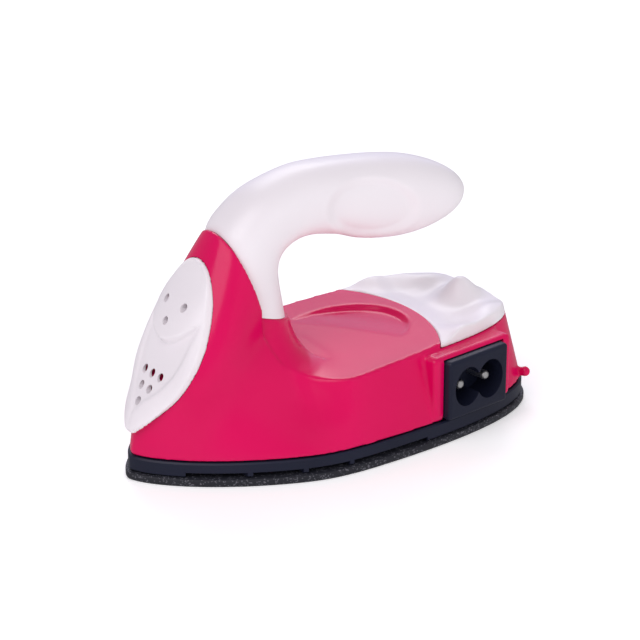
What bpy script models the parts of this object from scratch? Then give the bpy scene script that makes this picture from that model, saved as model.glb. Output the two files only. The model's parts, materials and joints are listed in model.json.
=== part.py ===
"""Travel iron with a handle that is carried only by the horn at its nose.

Metres, +Z up, nose toward -X, inlet side toward -Y, standing on z = 0.
One outline formula gives the sole plate, and the skirt, body, shield and tray follow it.
"""
import math

import bmesh
import bpy
from mathutils import Matrix, Vector

MM = 0.001

# Fits
GAP = 0.3 * MM
OVERRUN = 4 * MM

# Main sizes
SOLE_LENGTH = 109 * MM
SOLE_HALF_WIDTH = 28 * MM
DECK_HEIGHT = 21.0 * MM
HORN_TOP_HEIGHT = 55 * MM

# One drawn millimetre along the sole, across it and above the deck, and one of round parts
ALONG = SOLE_LENGTH / 109
ACROSS = SOLE_HALF_WIDTH / 28
UP = (HORN_TOP_HEIGHT - DECK_HEIGHT) / 34
ROUND = min(ALONG, ACROSS)

# Sole plate outline
WIDEST_SHARE = 0.40
NOSE_POWER = 1.37
NOSE_ROUND_POWER = 0.68
HEEL_POWER = 2.3
HEEL_ROUND_POWER = 0.27
NOSE_INSET_RATIO = 1.27
ROUNDING_FRONT_SHARE = 0.31
ROUNDING_REAR_SHARE = 0.50
FORE_STEPS = 12
AFT_STEPS = 11
RING_MIDDLE_STATION = 38 * ALONG

# Sole plate
SOLE_THICKNESS = 2 * MM
SOLE_EDGE_BEVEL = 0.5 * MM
HEATER_PAD_HEIGHT = 0.8 * MM

# Skirt
SKIRT_INSET = 0.6 * MM
SKIRT_HEIGHT = 3.5 * MM
SKIRT_WALL = 2.2 * MM
SKIRT_FLOOR = 1.2 * MM
SKIRT_WINDOW_INSET = 7 * ACROSS
SLOT_HEIGHT = 1.1 * MM
SLOT_STATION_SHARES = [(0.085, 0.195), (0.205, 0.305), (0.315, 0.410), (0.420, 0.620)]

# Body shell
BODY_INSET = 1.0 * MM
BODY_DRAFT_SHARE = 0.23
BODY_WALL = 1.8 * MM
RAKE = 21.8 * ALONG
RAKE_POWER = 1.32
HORN_CROWN_HEIGHT = 1.8 * MM
HORN_BLEND_START = 6 * MM
HORN_BLEND_END = DECK_HEIGHT + 7 * UP
NECK_BLEND_START = DECK_HEIGHT + 2 * UP
NECK_BLEND_END = DECK_HEIGHT + 14 * UP
HORN_BLEND_FRONT = 36 * ALONG
HORN_BLEND_REAR = 49 * ALONG
HORN_HALF_WIDTH = 13.6 * ACROSS
HORN_TOP_HALF_WIDTH = 8.2 * ACROSS
HORN_TAPER_HEIGHT = DECK_HEIGHT + 9 * UP
HORN_TAPER_POWER = 1.7
HORN_NOSE_LENGTH = 10 * ALONG
HORN_NOSE_SQUARENESS = 2.3
HORN_CHEEK_LENGTH = 15 * ALONG
HORN_REAR_STATION = 44 * ALONG
CROWN_STATION = 31 * ALONG
BODY_RINGS = 17
CROWN_SHARES = [(0.82, 0.6), (0.5, 0.95)]

# Deck
COLLAR_STATION = 33.5 * ALONG
COLLAR_RADIUS = 10.6 * ALONG
COLLAR_WIDTH_RATIO = 0.93
FLARE_WIDTH_RATIO = 1.15
FLARE_SPREAD = 11 * ALONG
CREASE_LEAD = 1.5 * ALONG
CREASE_SLOPE = 1.3
DECK_SLOPE = math.radians(4.2)
FLARE_HEIGHT = 12.5 * UP
FLARE_REACH = 13.5 * ALONG
FLARE_POWER = 5.5
FLARE_STEPS = 8
FLARE_CROWDING = 1.5
FLARE_TURNS = 24
DISH_STATION = 62 * ALONG
DISH_LENGTH = 35 * ALONG
DISH_WIDTH = 33 * ACROSS
DISH_DEPTH = 1.3 * MM
DISH_SLOPE_WIDTH = 1.6 * MM

# Handle
HANDLE_STATION = 20 * ALONG
HANDLE_LENGTH = 76.5 * ALONG
HANDLE_FOOT_HEIGHT = DECK_HEIGHT + 7 * UP
HANDLE_RISE = 40.5 * UP
HANDLE_WIDTH = 19.4 * ACROSS
HANDLE_WALL = 2.2 * MM
SPLIT_FOOT_STATION = 31.6 * ALONG
SPLIT_FOOT_HEIGHT = DECK_HEIGHT + 15.6 * UP
SPLIT_RAKE_SHARE = 0.33
SPLIT_TOP_HEIGHT = DECK_HEIGHT + 34.6 * UP
SPLIT_TOP_SLOPE = 0.08
SEAT_SLOPE_SHARE = 0.32
THUMB_STATION = 66.5 * ALONG
THUMB_HEIGHT = DECK_HEIGHT + 35.8 * UP
THUMB_LENGTH = 21 * ALONG
THUMB_TALL = 13.5 * UP
THUMB_DEPTH = 1.3 * MM
THUMB_OUT = 8.9 * ACROSS
THUMB_TILT = math.radians(10)
HANDLE_BOLT_SEAT = 4.5 * ACROSS

# Front plate
PLATE_THICKNESS = 1.5 * MM
PLATE_RECESS = 0.6 * MM
PLATE_LOW = 12.5 * MM
PLATE_HIGH = DECK_HEIGHT + 29.8 * UP
PLATE_HALF_WIDTH = 11.6 * ACROSS
PLATE_HOLE = 1.5 * MM
PLATE_BORDER = 4.5 * MM
PANEL_HIGH = DECK_HEIGHT + 14 * UP
PANEL_WIDTH_SHARE = 0.72
PANEL_DEPTH = 0.5 * MM
HOLE_TOP = DECK_HEIGHT + 20.5 * UP
HOLE_ROW_TOP = DECK_HEIGHT + 4 * UP
HOLE_ROW_STEP = 2.8 * UP
HOLE_PITCH = 3.4 * ACROSS
PLATE_WIDEST_SHARE = 0.57
PLATE_LOW_POWER = 2.2
PLATE_LOW_ROUND_POWER = 0.52
FACE_RINGS = 14

# Tray
TRAY_FRONT_STATION = 81 * ALONG
TRAY_FRONT_RADIUS = 43 * ALONG
TRAY_ARC_STEPS = 20
TRAY_ARC_HALF_ANGLE = math.radians(50)
TRAY_STEP = 2.6 * MM
POCKET_INSET = 8.5 * ACROSS
POCKET_SETBACK = 3 * ALONG
POCKET_FLOOR = DECK_HEIGHT + 0.6 * MM
TRAY_FLOOR = DECK_HEIGHT + 2.5 * MM
TRAY_DIP_LENGTH = 9 * ALONG
TRAY_RIM = 2.1 * MM
TRAY_RIM_START_SHARE = 0.62
TRAY_RISE_STATION = 94 * ALONG
TRAY_RISE_LENGTH = 6 * ALONG
TRAY_CENTRE_LOBE = 4 * MM
TRAY_SIDE_LOBE = 1.8 * MM
TRAY_LOBE_SIDE = 11 * ACROSS
TRAY_LOBE_SPREAD = 4.2 * ACROSS
TRAY_CELL = 2 * MM
TRAY_RINGS = 8
TRAY_TOP = DECK_HEIGHT + 11 * MM

# Inlet
INLET_STATION = 82.6 * ALONG
INLET_WIDTH = 19.6 * MM
INLET_LOW = 6.4 * MM
INLET_HEIGHT = DECK_HEIGHT - 5.8 * MM
INLET_FACE_OUT = 26.9 * ACROSS
INLET_YAW = math.radians(7.5)
INLET_DEPTH = 10 * ACROSS
BOSS_SETBACK = 2.7 * ACROSS
BOSS_BORDER = 3.2 * MM
BOSS_TOP = DECK_HEIGHT + 1.6 * MM
BOSS_BEVEL = 1.2 * MM
EAR_REACH = 1.1 * MM
EAR_SETBACK = 7.6 * ACROSS
INLET_CORNER = 1 * MM
SOCKET_LOBE_RADIUS = 4.3 * MM
PIN_SPACING = 8.6 * MM
SOCKET_DEPTH = 7.5 * ACROSS
SOCKET_LOBE_SIDE = 3.7 * MM
SOCKET_LOBE_STRETCH = 1.16
SOCKET_STEPS = 14
PIN_DIAMETER = 2.4 * MM
PIN_RECESS = 1.6 * MM
PIN_TAIL = 4 * ACROSS
TERMINAL_WALL = 0.6 * MM
TERMINAL_LENGTH = 5.5 * ACROSS

# Heel feet of the body
FOOT_RADIUS = 1.4 * MM
FOOT_HEIGHT = 2.6 * MM
FOOT_STATION = 104.6 * ALONG
FOOT_SIDE = 14 * ACROSS

NOSE_X = -SOLE_LENGTH / 2
HEEL_X = SOLE_LENGTH / 2
SKIRT_LOW = SOLE_THICKNESS + GAP
SKIRT_TOP = SKIRT_LOW + SKIRT_HEIGHT
BODY_LOW = SKIRT_TOP + GAP


def station(distance):
    """X of a point that lies this far behind the nose."""
    return NOSE_X + distance


def smooth(share):
    """Soft step from 0 to 1."""
    share = min(max(share, 0), 1)
    return share * share * (3 - 2 * share)


def two_part_share(share):
    """Half-width of the outline as a share: one curve to the widest place and one behind it."""
    if share <= WIDEST_SHARE:
        ahead = 1 - share / WIDEST_SHARE
        return (1 - ahead ** NOSE_POWER) ** NOSE_ROUND_POWER
    behind = (share - WIDEST_SHARE) / (1 - WIDEST_SHARE)
    return max(1 - behind ** HEEL_POWER, 0) ** HEEL_ROUND_POWER


def plan_share(share):
    """Half-width of the sole outline, as a share, at this share of its length."""
    length = ROUNDING_REAR_SHARE - ROUNDING_FRONT_SHARE
    t = (share - ROUNDING_FRONT_SHARE) / length
    if t <= 0 or t >= 1:
        return two_part_share(share)
    small = length / 100
    start = two_part_share(ROUNDING_FRONT_SHARE)
    end = two_part_share(ROUNDING_REAR_SHARE)
    start_slope = (start - two_part_share(ROUNDING_FRONT_SHARE - small)) * 100
    end_slope = (two_part_share(ROUNDING_REAR_SHARE + small) - end) * 100
    level = smooth(t)
    return (start * (1 - level) + end * level
            + start_slope * t * (1 - t) ** 2 - end_slope * t * t * (1 - t))


def half_width_at(x, inset):
    """Half-width of the sole outline at x, drawn in by an inset."""
    front = NOSE_X + inset * NOSE_INSET_RATIO
    length = HEEL_X - inset - front
    share = min(max((x - front) / length, 0), 1)
    return (SOLE_HALF_WIDTH - inset) * plan_share(share)


def ring_stations(front, rear):
    """X of a side's points, close together at both ends."""
    middle = station(RING_MIDDLE_STATION)
    turn = math.pi / 2
    fore = [front + (middle - front) * (1 - math.cos(turn * i / FORE_STEPS)) for i in range(FORE_STEPS)]
    aft = [middle + (rear - middle) * math.sin(turn * i / AFT_STEPS) for i in range(AFT_STEPS + 1)]
    return fore + aft


def closed_ring(xs, widths, z):
    """Points round a symmetric outline: the near side nose to heel, then the far side back."""
    near = [Vector((x, -w, z)) for x, w in zip(xs, widths)]
    far = [Vector((x, w, z)) for x, w in zip(xs[1:-1], widths[1:-1])]
    return near + far[::-1]


def outline_ring(inset, z):
    """The sole outline, drawn in by an inset, at height z."""
    xs = ring_stations(NOSE_X + inset * NOSE_INSET_RATIO, HEEL_X - inset)
    widths = [half_width_at(x, inset) for x in xs]
    widths[0] = widths[-1] = 0
    return closed_ring(xs, widths, z)


def material(name, colour, roughness, metallic=0.0):
    """A plain surface of one colour."""
    made = bpy.data.materials.new(name)
    made.use_nodes = True
    shader = made.node_tree.nodes["Principled BSDF"]
    shader.inputs["Base Color"].default_value = (*colour, 1)
    shader.inputs["Roughness"].default_value = roughness
    shader.inputs["Metallic"].default_value = metallic
    return made


def add_piece(name, mesh_builder, surface=None):
    """Turn a bmesh into a named object with outward faces and one material."""
    bmesh.ops.recalc_face_normals(mesh_builder, faces=mesh_builder.faces)
    mesh = bpy.data.meshes.new(name)
    mesh_builder.to_mesh(mesh)
    mesh_builder.free()
    piece = bpy.data.objects.new(name, mesh)
    bpy.context.collection.objects.link(piece)
    if surface:
        mesh.materials.append(surface)
        mesh.shade_smooth()
        mesh.set_sharp_from_angle(angle=math.radians(30))
    return piece


def loft(name, rings, surface=None, fanned=False):
    """A closed solid through rings of as many points each; ends that aren't flat are fanned."""
    built = bmesh.new()
    rows = [[built.verts.new(point) for point in ring] for ring in rings]
    count = len(rings[0])
    for low, high in zip(rows, rows[1:]):
        for i in range(count):
            j = (i + 1) % count
            built.faces.new((low[i], low[j], high[j], high[i]))
    for row in (rows[0], rows[-1]):
        if fanned:
            for i in range(count - 2):
                built.faces.new((row[-1], row[i], row[i + 1]))
        else:
            built.faces.new(row)
    return add_piece(name, built, surface)


def circle(radius, centre, steps):
    """Points of a level circle."""
    turn = 2 * math.pi / steps
    return [centre + Vector((radius * math.cos(i * turn), radius * math.sin(i * turn), 0))
            for i in range(steps)]


def turned(name, profile, place, surface=None, steps=16):
    """A solid turned from (radius, height) pairs, then set by a matrix."""
    rings = [circle(radius, Vector((0, 0, height)), steps) for radius, height in profile]
    piece = loft(name, rings, surface)
    piece.matrix_world = place
    return piece


def block(name, size, place, surface=None, bevel=0):
    """A box with its middle at the origin of the matrix, and rounded edges if asked."""
    built = bmesh.new()
    bmesh.ops.create_cube(built, size=1)
    bmesh.ops.scale(built, vec=size, verts=built.verts)
    piece = add_piece(name, built, surface)
    piece.matrix_world = place
    if bevel:
        soften(piece, bevel, 2)
    return piece


def extruded(name, points, low, high, surface=None):
    """A solid between two copies of a closed outline."""
    return loft(name, [[point + low for point in points], [point + high for point in points]], surface)


def soften(piece, width, segments, angle=math.radians(35)):
    """Round the sharp edges."""
    bevel = piece.modifiers.new("rounded edges", "BEVEL")
    bevel.width = width
    bevel.segments = segments
    bevel.limit_method = "ANGLE"
    bevel.angle_limit = angle
    bevel.use_clamp_overlap = True


def combine(piece, guide, operation):
    """Cut, join or keep the common part with a guide solid that is itself left out."""
    step = piece.modifiers.new(guide.name, "BOOLEAN")
    step.operation = operation
    step.object = guide
    guide.hide_render = True
    guide.display_type = "WIRE"


def cut(piece, guide):
    combine(piece, guide, "DIFFERENCE")


def join(piece, guide):
    combine(piece, guide, "UNION")


def keep_common(piece, guide):
    combine(piece, guide, "INTERSECT")


def at(x, y, z):
    return Matrix.Translation((x, y, z))


def lying(x, y, z, axis):
    """A matrix that turns +Z onto an axis and moves it to a point."""
    return at(x, y, z) @ Vector(axis).to_track_quat("Z", "Y").to_matrix().to_4x4()


def front_x(z):
    """X of the body's front line, which rakes back up to the top of the horn."""
    rise = max(z - BODY_LOW, 0) / (HORN_TOP_HEIGHT - BODY_LOW)
    return NOSE_X + BODY_INSET * NOSE_INSET_RATIO + RAKE * rise ** RAKE_POWER


def horn_half_width(z):
    """Widest half-width of the horn at height z."""
    rise = max(z - HORN_TAPER_HEIGHT, 0) / (HORN_TOP_HEIGHT - HORN_TAPER_HEIGHT)
    drop = HORN_HALF_WIDTH - HORN_TOP_HALF_WIDTH
    return HORN_HALF_WIDTH - drop * rise ** HORN_TAPER_POWER


def horn_width(x, z, front, wall):
    """Half-width of the horn: round in front, full at the cheeks, then as narrow as the handle."""
    full = horn_half_width(z) - wall
    narrow = smooth((z - NECK_BLEND_START) / (NECK_BLEND_END - NECK_BLEND_START))
    neck = full - (full - min(full, HANDLE_WIDTH / 2 - wall)) * narrow
    ahead = min((x - front) / HORN_NOSE_LENGTH, 1)
    cheek = smooth((x - front - HORN_NOSE_LENGTH) / HORN_CHEEK_LENGTH)
    power = HORN_NOSE_SQUARENESS
    return (full - (full - neck) * cheek) * max(1 - (1 - ahead) ** power, 0) ** (1 / power)


def body_section(z, wall=0):
    """Ring of the body at height z, or of its inside when a wall is given."""
    draft = BODY_DRAFT_SHARE * (z - BODY_LOW)
    front = front_x(z) + wall * NOSE_INSET_RATIO
    rear = HEEL_X - BODY_INSET - draft - wall
    full = SOLE_HALF_WIDTH - BODY_INSET - draft - wall
    xs = ring_stations(front, rear)
    rise = smooth((z - HORN_BLEND_START) / (HORN_BLEND_END - HORN_BLEND_START))
    widths = []
    for x in xs:
        plain = full * plan_share((x - front) / (rear - front))
        behind = smooth((x - station(HORN_BLEND_FRONT)) / (HORN_BLEND_REAR - HORN_BLEND_FRONT))
        horn = horn_width(x, z, front, wall)
        widths.append(plain + (horn - plain) * rise * (1 - behind))
    widths[0] = widths[-1] = 0
    return closed_ring(xs, widths, z)


def deck_z(x):
    """Height of the deck's slope at x."""
    return DECK_HEIGHT + (x - station(COLLAR_STATION)) * math.tan(DECK_SLOPE)


# Cross-sections of the handle, foot to tip: the outer and the inner point of each as shares of the
# handle's length and rise, then its width as a share.
HANDLE_SHARES = [
    (0.013, 0.000, 0.308, 0.012, 1.00),
    (0.020, 0.198, 0.290, 0.210, 1.00),
    (0.020, 0.420, 0.272, 0.390, 1.00),
    (0.024, 0.593, 0.273, 0.469, 0.98),
    (0.043, 0.728, 0.288, 0.519, 0.96),
    (0.092, 0.840, 0.311, 0.548, 0.94),
    (0.163, 0.928, 0.344, 0.568, 0.91),
    (0.261, 0.985, 0.383, 0.573, 0.88),
    (0.366, 1.000, 0.431, 0.563, 0.86),
    (0.471, 0.993, 0.497, 0.538, 0.87),
    (0.569, 0.968, 0.562, 0.494, 0.90),
    (0.660, 0.941, 0.641, 0.464, 0.92),
    (0.752, 0.901, 0.725, 0.449, 0.92),
    (0.830, 0.849, 0.810, 0.457, 0.87),
    (0.902, 0.790, 0.889, 0.486, 0.76),
    (0.957, 0.728, 0.949, 0.526, 0.57),
    (0.988, 0.672, 0.986, 0.573, 0.33),
    (0.999, 0.640, 0.999, 0.610, 0.12),
]
HANDLE_SQUARENESS = 2.35
HANDLE_STEPS = 20


def handle_point(length_share, rise_share):
    """A point of the handle's middle plane."""
    x = station(HANDLE_STATION) + length_share * HANDLE_LENGTH
    return Vector((x, 0, HANDLE_FOOT_HEIGHT + rise_share * HANDLE_RISE))


def handle_ring(shares, wall):
    """One rounded cross-section of the handle, drawn in by a wall."""
    outer = handle_point(shares[0], shares[1])
    inner = handle_point(shares[2], shares[3])
    middle = (outer + inner) / 2
    across = (outer - inner).normalized()
    tall = max((outer - inner).length / 2 - wall, wall / 2 if wall else 0)
    wide = max(shares[4] * HANDLE_WIDTH / 2 - wall, wall / 2 if wall else 0)
    ring = []
    for i in range(HANDLE_STEPS):
        angle = 2 * math.pi * i / HANDLE_STEPS
        power = 2 / HANDLE_SQUARENESS
        up = math.copysign(abs(math.cos(angle)) ** power, math.cos(angle))
        side = math.copysign(abs(math.sin(angle)) ** power, math.sin(angle))
        ring.append(middle + across * tall * up + Vector((0, side * wide, 0)))
    return ring


def spread(keys, steps):
    """Rows read from a smooth curve through the rows of a table."""
    rows = []
    for i in range(len(keys) - 1):
        before = keys[max(i - 1, 0)]
        after = keys[min(i + 2, len(keys) - 1)]
        for k in range(steps):
            t = k / steps
            row = []
            for a, b, c, d in zip(before, keys[i], keys[i + 1], after):
                bend = 2 * b + (c - a) * t + (2 * a - 5 * b + 4 * c - d) * t * t
                row.append((bend + (3 * b - 3 * c + d - a) * t ** 3) / 2)
            rows.append(row)
    rows.append(list(keys[-1]))
    return rows


def wedge(name, clearance):
    """All that lies behind the horn's slanted edge and above the collar's seat."""
    foot_x = station(SPLIT_FOOT_STATION) + clearance
    foot_z = SPLIT_FOOT_HEIGHT + clearance
    reach = SOLE_LENGTH
    seat = station(HORN_REAR_STATION) + 2 * OVERRUN - foot_x
    seat_end = foot_z - SEAT_SLOPE_SHARE * seat
    foot = Vector((foot_x, 0, foot_z))
    top_z = SPLIT_TOP_HEIGHT + clearance
    top = Vector((foot_x - SPLIT_RAKE_SHARE * (top_z - foot_z), 0, top_z))
    nose = top + Vector((-reach, 0, SPLIT_TOP_SLOPE * reach))
    points = [foot, Vector((foot_x + seat, 0, seat_end)), Vector((reach, 0, seat_end)),
              Vector((reach, 0, foot_z + reach)), Vector((nose.x, 0, foot_z + reach)), nose, top]
    side = Vector((0, SOLE_HALF_WIDTH, 0))
    return extruded(name, points, -side, side)


def deck_plane(x, height):
    """Matrix of the deck's slope, with its origin over the deck's middle line."""
    return at(x, 0, deck_z(x) + height) @ Matrix.Rotation(-DECK_SLOPE, 4, "Y")


def deck_clearance(name, wall, drop):
    """All that lies above the deck behind the horn's crease, with the flare that runs up to the collar."""
    reach = SOLE_LENGTH
    collar = COLLAR_RADIUS - wall
    rows = [(0, reach), (0, FLARE_HEIGHT)]
    for i in range(1, FLARE_STEPS + 1):
        share = (i / FLARE_STEPS) ** FLARE_CROWDING
        rows.append((FLARE_REACH * share, FLARE_HEIGHT * (1 - share) ** FLARE_POWER))
    rows += [(reach, 0), (reach, reach)]
    rings = []
    for i in range(FLARE_TURNS + 1):
        ring = []
        for out, height in rows:
            radius = collar + out
            crease = CREASE_SLOPE * out - CREASE_LEAD
            angle = math.acos(crease / radius if out < reach else 0) * (2 * i / FLARE_TURNS - 1)
            wide = FLARE_WIDTH_RATIO * out * (1 + min(out, FLARE_REACH) / FLARE_SPREAD)
            side = (COLLAR_WIDTH_RATIO * collar + wide) * math.sin(angle)
            ring.append(Vector((radius * math.cos(angle), side * ACROSS / ALONG, height)))
        rings.append(ring)
    space = loft(name, rings, fanned=True)
    space.matrix_world = deck_plane(station(COLLAR_STATION), -drop)
    return space


def finger_dish():
    """Cutter of the oval dish, with sloping sides."""
    count = 40
    rings = []
    for inset, height in ((0, OVERRUN), (0, 0), (DISH_SLOPE_WIDTH, -DISH_DEPTH)):
        ring = []
        for i in range(count):
            angle = 2 * math.pi * i / count
            ring.append(Vector(((DISH_LENGTH / 2 - inset) * math.cos(angle),
                                (DISH_WIDTH / 2 - inset) * math.sin(angle), height)))
        rings.append(ring)
    dish = loft("dish space", rings)
    dish.matrix_world = deck_plane(station(DISH_STATION), 0)
    return dish


def tray_zone(name, setback):
    """A tall solid over the plan behind the tray's curved front edge, standing on height 0."""
    middle = station(TRAY_FRONT_STATION - TRAY_FRONT_RADIUS)
    radius = TRAY_FRONT_RADIUS + setback
    points = []
    for i in range(TRAY_ARC_STEPS + 1):
        angle = TRAY_ARC_HALF_ANGLE * (2 * i / TRAY_ARC_STEPS - 1)
        points.append(Vector((middle + radius * math.cos(angle), radius * math.sin(angle), 0)))
    far = HEEL_X + SOLE_HALF_WIDTH
    points += [Vector((far, points[-1].y, 0)), Vector((far, points[0].y, 0))]
    return extruded(name, points, Vector(), Vector((0, 0, SOLE_LENGTH)))


def tray_step(name, setback, drop):
    """What lies behind the tray's front edge and above the step that it sits on."""
    space = tray_zone(name, setback)
    shear = Matrix.Identity(4)
    shear[2][0] = math.tan(DECK_SLOPE)
    shear[2][3] = deck_z(0) - TRAY_STEP - drop
    space.data.transform(shear)
    return space


def tray_pocket(name, clearance):
    """The sunken middle of the tray's seat, or the tub that fills it when a clearance is given."""
    inset = POCKET_INSET + clearance
    low = POCKET_FLOOR + clearance
    pocket = loft(name, [outline_ring(inset, low), outline_ring(inset, low + SOLE_HALF_WIDTH)])
    keep_common(pocket, tray_zone(name + " zone", POCKET_SETBACK + clearance))
    return pocket


# Screws, shared by every joint of the casing
SCREW_HEAD_RADIUS = 2.4 * ROUND
SCREW_HEAD_HEIGHT = 1.5 * MM
SCREW_RADIUS = 1.2 * ROUND
SCREW_DOME_SHARE = 0.7
POST_RADIUS = 3 * ROUND
SCREW_STEPS = 14

# Inside the sole
WINDOW_FRONT_STATION = 16.5 * ALONG
WINDOW_REAR_STATION = 86.5 * ALONG
SOLE_SCREW_PLACES = [(13 * ALONG, 0), (91 * ALONG, -12.6 * ACROSS), (91 * ALONG, 12.6 * ACROSS)]
SOLE_SCREW_LENGTH = 4.4 * MM
LOW_POST_TOP = 3.2 * MM
HEATER_STATION = 43.5 * ALONG
HEATER_LENGTH = 34 * ALONG
HEATER_WIDTH = 18 * ACROSS
HEATER_THICKNESS = 2.4 * MM
HEATER_MARGIN = 2 * ALONG
HEATER_TAB_SIDE = 6 * ACROSS
TAB_LENGTH = 5 * ALONG
TAB_WIDTH = 3 * MM
TAB_THICKNESS = 0.8 * MM
SHEET_THICKNESS = 0.4 * MM
CLAMP_THICKNESS = 1 * MM
CLAMP_WIDTH = 6.4 * ACROSS
CLAMP_SCREW_LENGTH = 4.2 * MM
THERMOSTAT_STATION = 76 * ALONG
THERMOSTAT_SIDE = 4.6 * ACROSS
THERMOSTAT_RADIUS = 6.2 * ROUND
THERMOSTAT_HEIGHT = 4.5 * MM
THERMOSTAT_EAR_REACH = 9.5 * ACROSS
EAR_WIDTH = 6 * ROUND
EAR_THICKNESS = 0.8 * MM
LOW_SCREW_LENGTH = 2.6 * MM
FUSE_STATION = 75.5 * ALONG
FUSE_SIDE = -6.5 * ACROSS
FUSE_RADIUS = 1.8 * ROUND
FUSE_LENGTH = 10 * ALONG
FUSE_SLEEVE_WALL = 0.6 * MM
FUSE_SLEEVE_LENGTH = 12.5 * ALONG
STRAP_WIDTH = 5.5 * ALONG
STRAP_THICKNESS = 0.7 * MM
STRAP_FOOT = 6.4 * ACROSS
SHIELD_INSET = 7.4 * ACROSS
SHIELD_HEIGHT = 11.4 * MM
SHIELD_THICKNESS = 0.6 * MM
SHIELD_FRONT_STATION = 22 * ALONG
SHIELD_REAR_STATION = 66 * ALONG
SHIELD_POST_RADIUS = 3 * ROUND
SHIELD_POST_STATIONS = [44 * ALONG, 62 * ALONG]
SHIELD_POST_INSET = 8.7 * ACROSS
SHIELD_SCREW_LENGTH = 4 * MM
LEAD_RADIUS = 0.8 * MM

# Body screws under the tray
BODY_SCREW_STATION = 96 * ALONG
BODY_SCREW_SIDE = 6.5 * ACROSS
BODY_SCREW_SEAT = DECK_HEIGHT - 2 * MM
BODY_SCREW_LENGTH = DECK_HEIGHT - 8 * MM
SKIRT_POST_TOP = DECK_HEIGHT - 9.2 * MM
BODY_POST_RADIUS = 3.6 * ROUND
CLIP_STATION = 86 * ALONG
CLIP_SIDE = 12 * ACROSS
CLIP_LENGTH = 4 * ALONG
CLIP_WIDTH = 1.4 * MM
CLIP_DEPTH = 5 * MM

# Handle fixings
HANDLE_BOLT_SHARES = [(0.165, 0.76), (0.40, 0.80), (0.84, 0.65)]
BOSS_RADIUS = 3 * ROUND
HANDLE_SCREW_LENGTH = 10 * ACROSS
ROOT_STATION = 37.5 * ALONG
ROOT_SEAT_WALL = 3.2 * MM
ROOT_SCREW_LENGTH = 9.5 * MM
FACE_SCREW_HEIGHT = DECK_HEIGHT + 25 * UP
FACE_SCREW_LENGTH = 9 * MM
ROOF_WALL = 2.8 * MM

pink = material("pink gloss plastic", (0.76, 0.02, 0.12), 0.22)
white = material("white plastic", (0.86, 0.82, 0.84), 0.32)
black = material("black plastic", (0.03, 0.03, 0.045), 0.45)
coat = material("dark non-stick coat", (0.045, 0.045, 0.055), 0.5, 0.2)
bright = material("nickelled brass", (0.75, 0.75, 0.74), 0.25, 1.0)
steel = material("zinc-plated steel", (0.6, 0.62, 0.64), 0.35, 1.0)
ceramic = material("white ceramic", (0.8, 0.78, 0.72), 0.6)
mica = material("mica sheet", (0.45, 0.35, 0.2), 0.5)
sleeving = material("glass-fibre sleeve", (0.85, 0.84, 0.8), 0.8)

# Heights of the stack on the sole plate
PAD_TOP = SOLE_THICKNESS + HEATER_PAD_HEIGHT
HEATER_LOW = PAD_TOP + GAP
SHEET_LOW = HEATER_LOW + HEATER_THICKNESS + GAP
CLAMP_LOW = SHEET_LOW + SHEET_THICKNESS + GAP
CLAMP_SCREW_REACH = HEATER_LENGTH / 2 + HEATER_MARGIN + POST_RADIUS + GAP
EAR_LOW = LOW_POST_TOP + GAP
SLEEVE_RADIUS = FUSE_RADIUS + GAP + FUSE_SLEEVE_WALL
FUSE_Z = SOLE_THICKNESS + GAP + SLEEVE_RADIUS
STRAP_SCREW_SIDE = FUSE_SIDE - SLEEVE_RADIUS - GAP - STRAP_THICKNESS - STRAP_FOOT / 2


def screw(name, length, place):
    """A round-head screw: its head sits on the matrix's origin and its shank points down."""
    profile = [(SCREW_RADIUS * SCREW_DOME_SHARE, -length),
               (SCREW_RADIUS, -length + SCREW_RADIUS),
               (SCREW_RADIUS, 0),
               (SCREW_HEAD_RADIUS, 0),
               (SCREW_HEAD_RADIUS, SCREW_HEAD_HEIGHT / 2),
               (SCREW_HEAD_RADIUS * SCREW_DOME_SHARE, SCREW_HEAD_HEIGHT)]
    return turned(name, profile, place, steel, SCREW_STEPS)


def screw_hole(piece, place, depth, reach=OVERRUN):
    """Cut the clear hole of a screw, from above its seat to a depth below it."""
    hole = turned(piece.name + " screw hole", [(SCREW_RADIUS + GAP, -depth), (SCREW_RADIUS + GAP, reach)],
                  place, steps=SCREW_STEPS)
    cut(piece, hole)


def bore(piece, radius, low, high, place):
    """Cut a round hole between two heights of a matrix."""
    cut(piece, turned(piece.name + " bore", [(radius, low), (radius, high)], place, steps=SCREW_STEPS))


def post(name, radius, low, high, x, y):
    """An upright round post."""
    return turned(name, [(radius, low), (radius, high)], at(x, y, 0))


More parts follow.
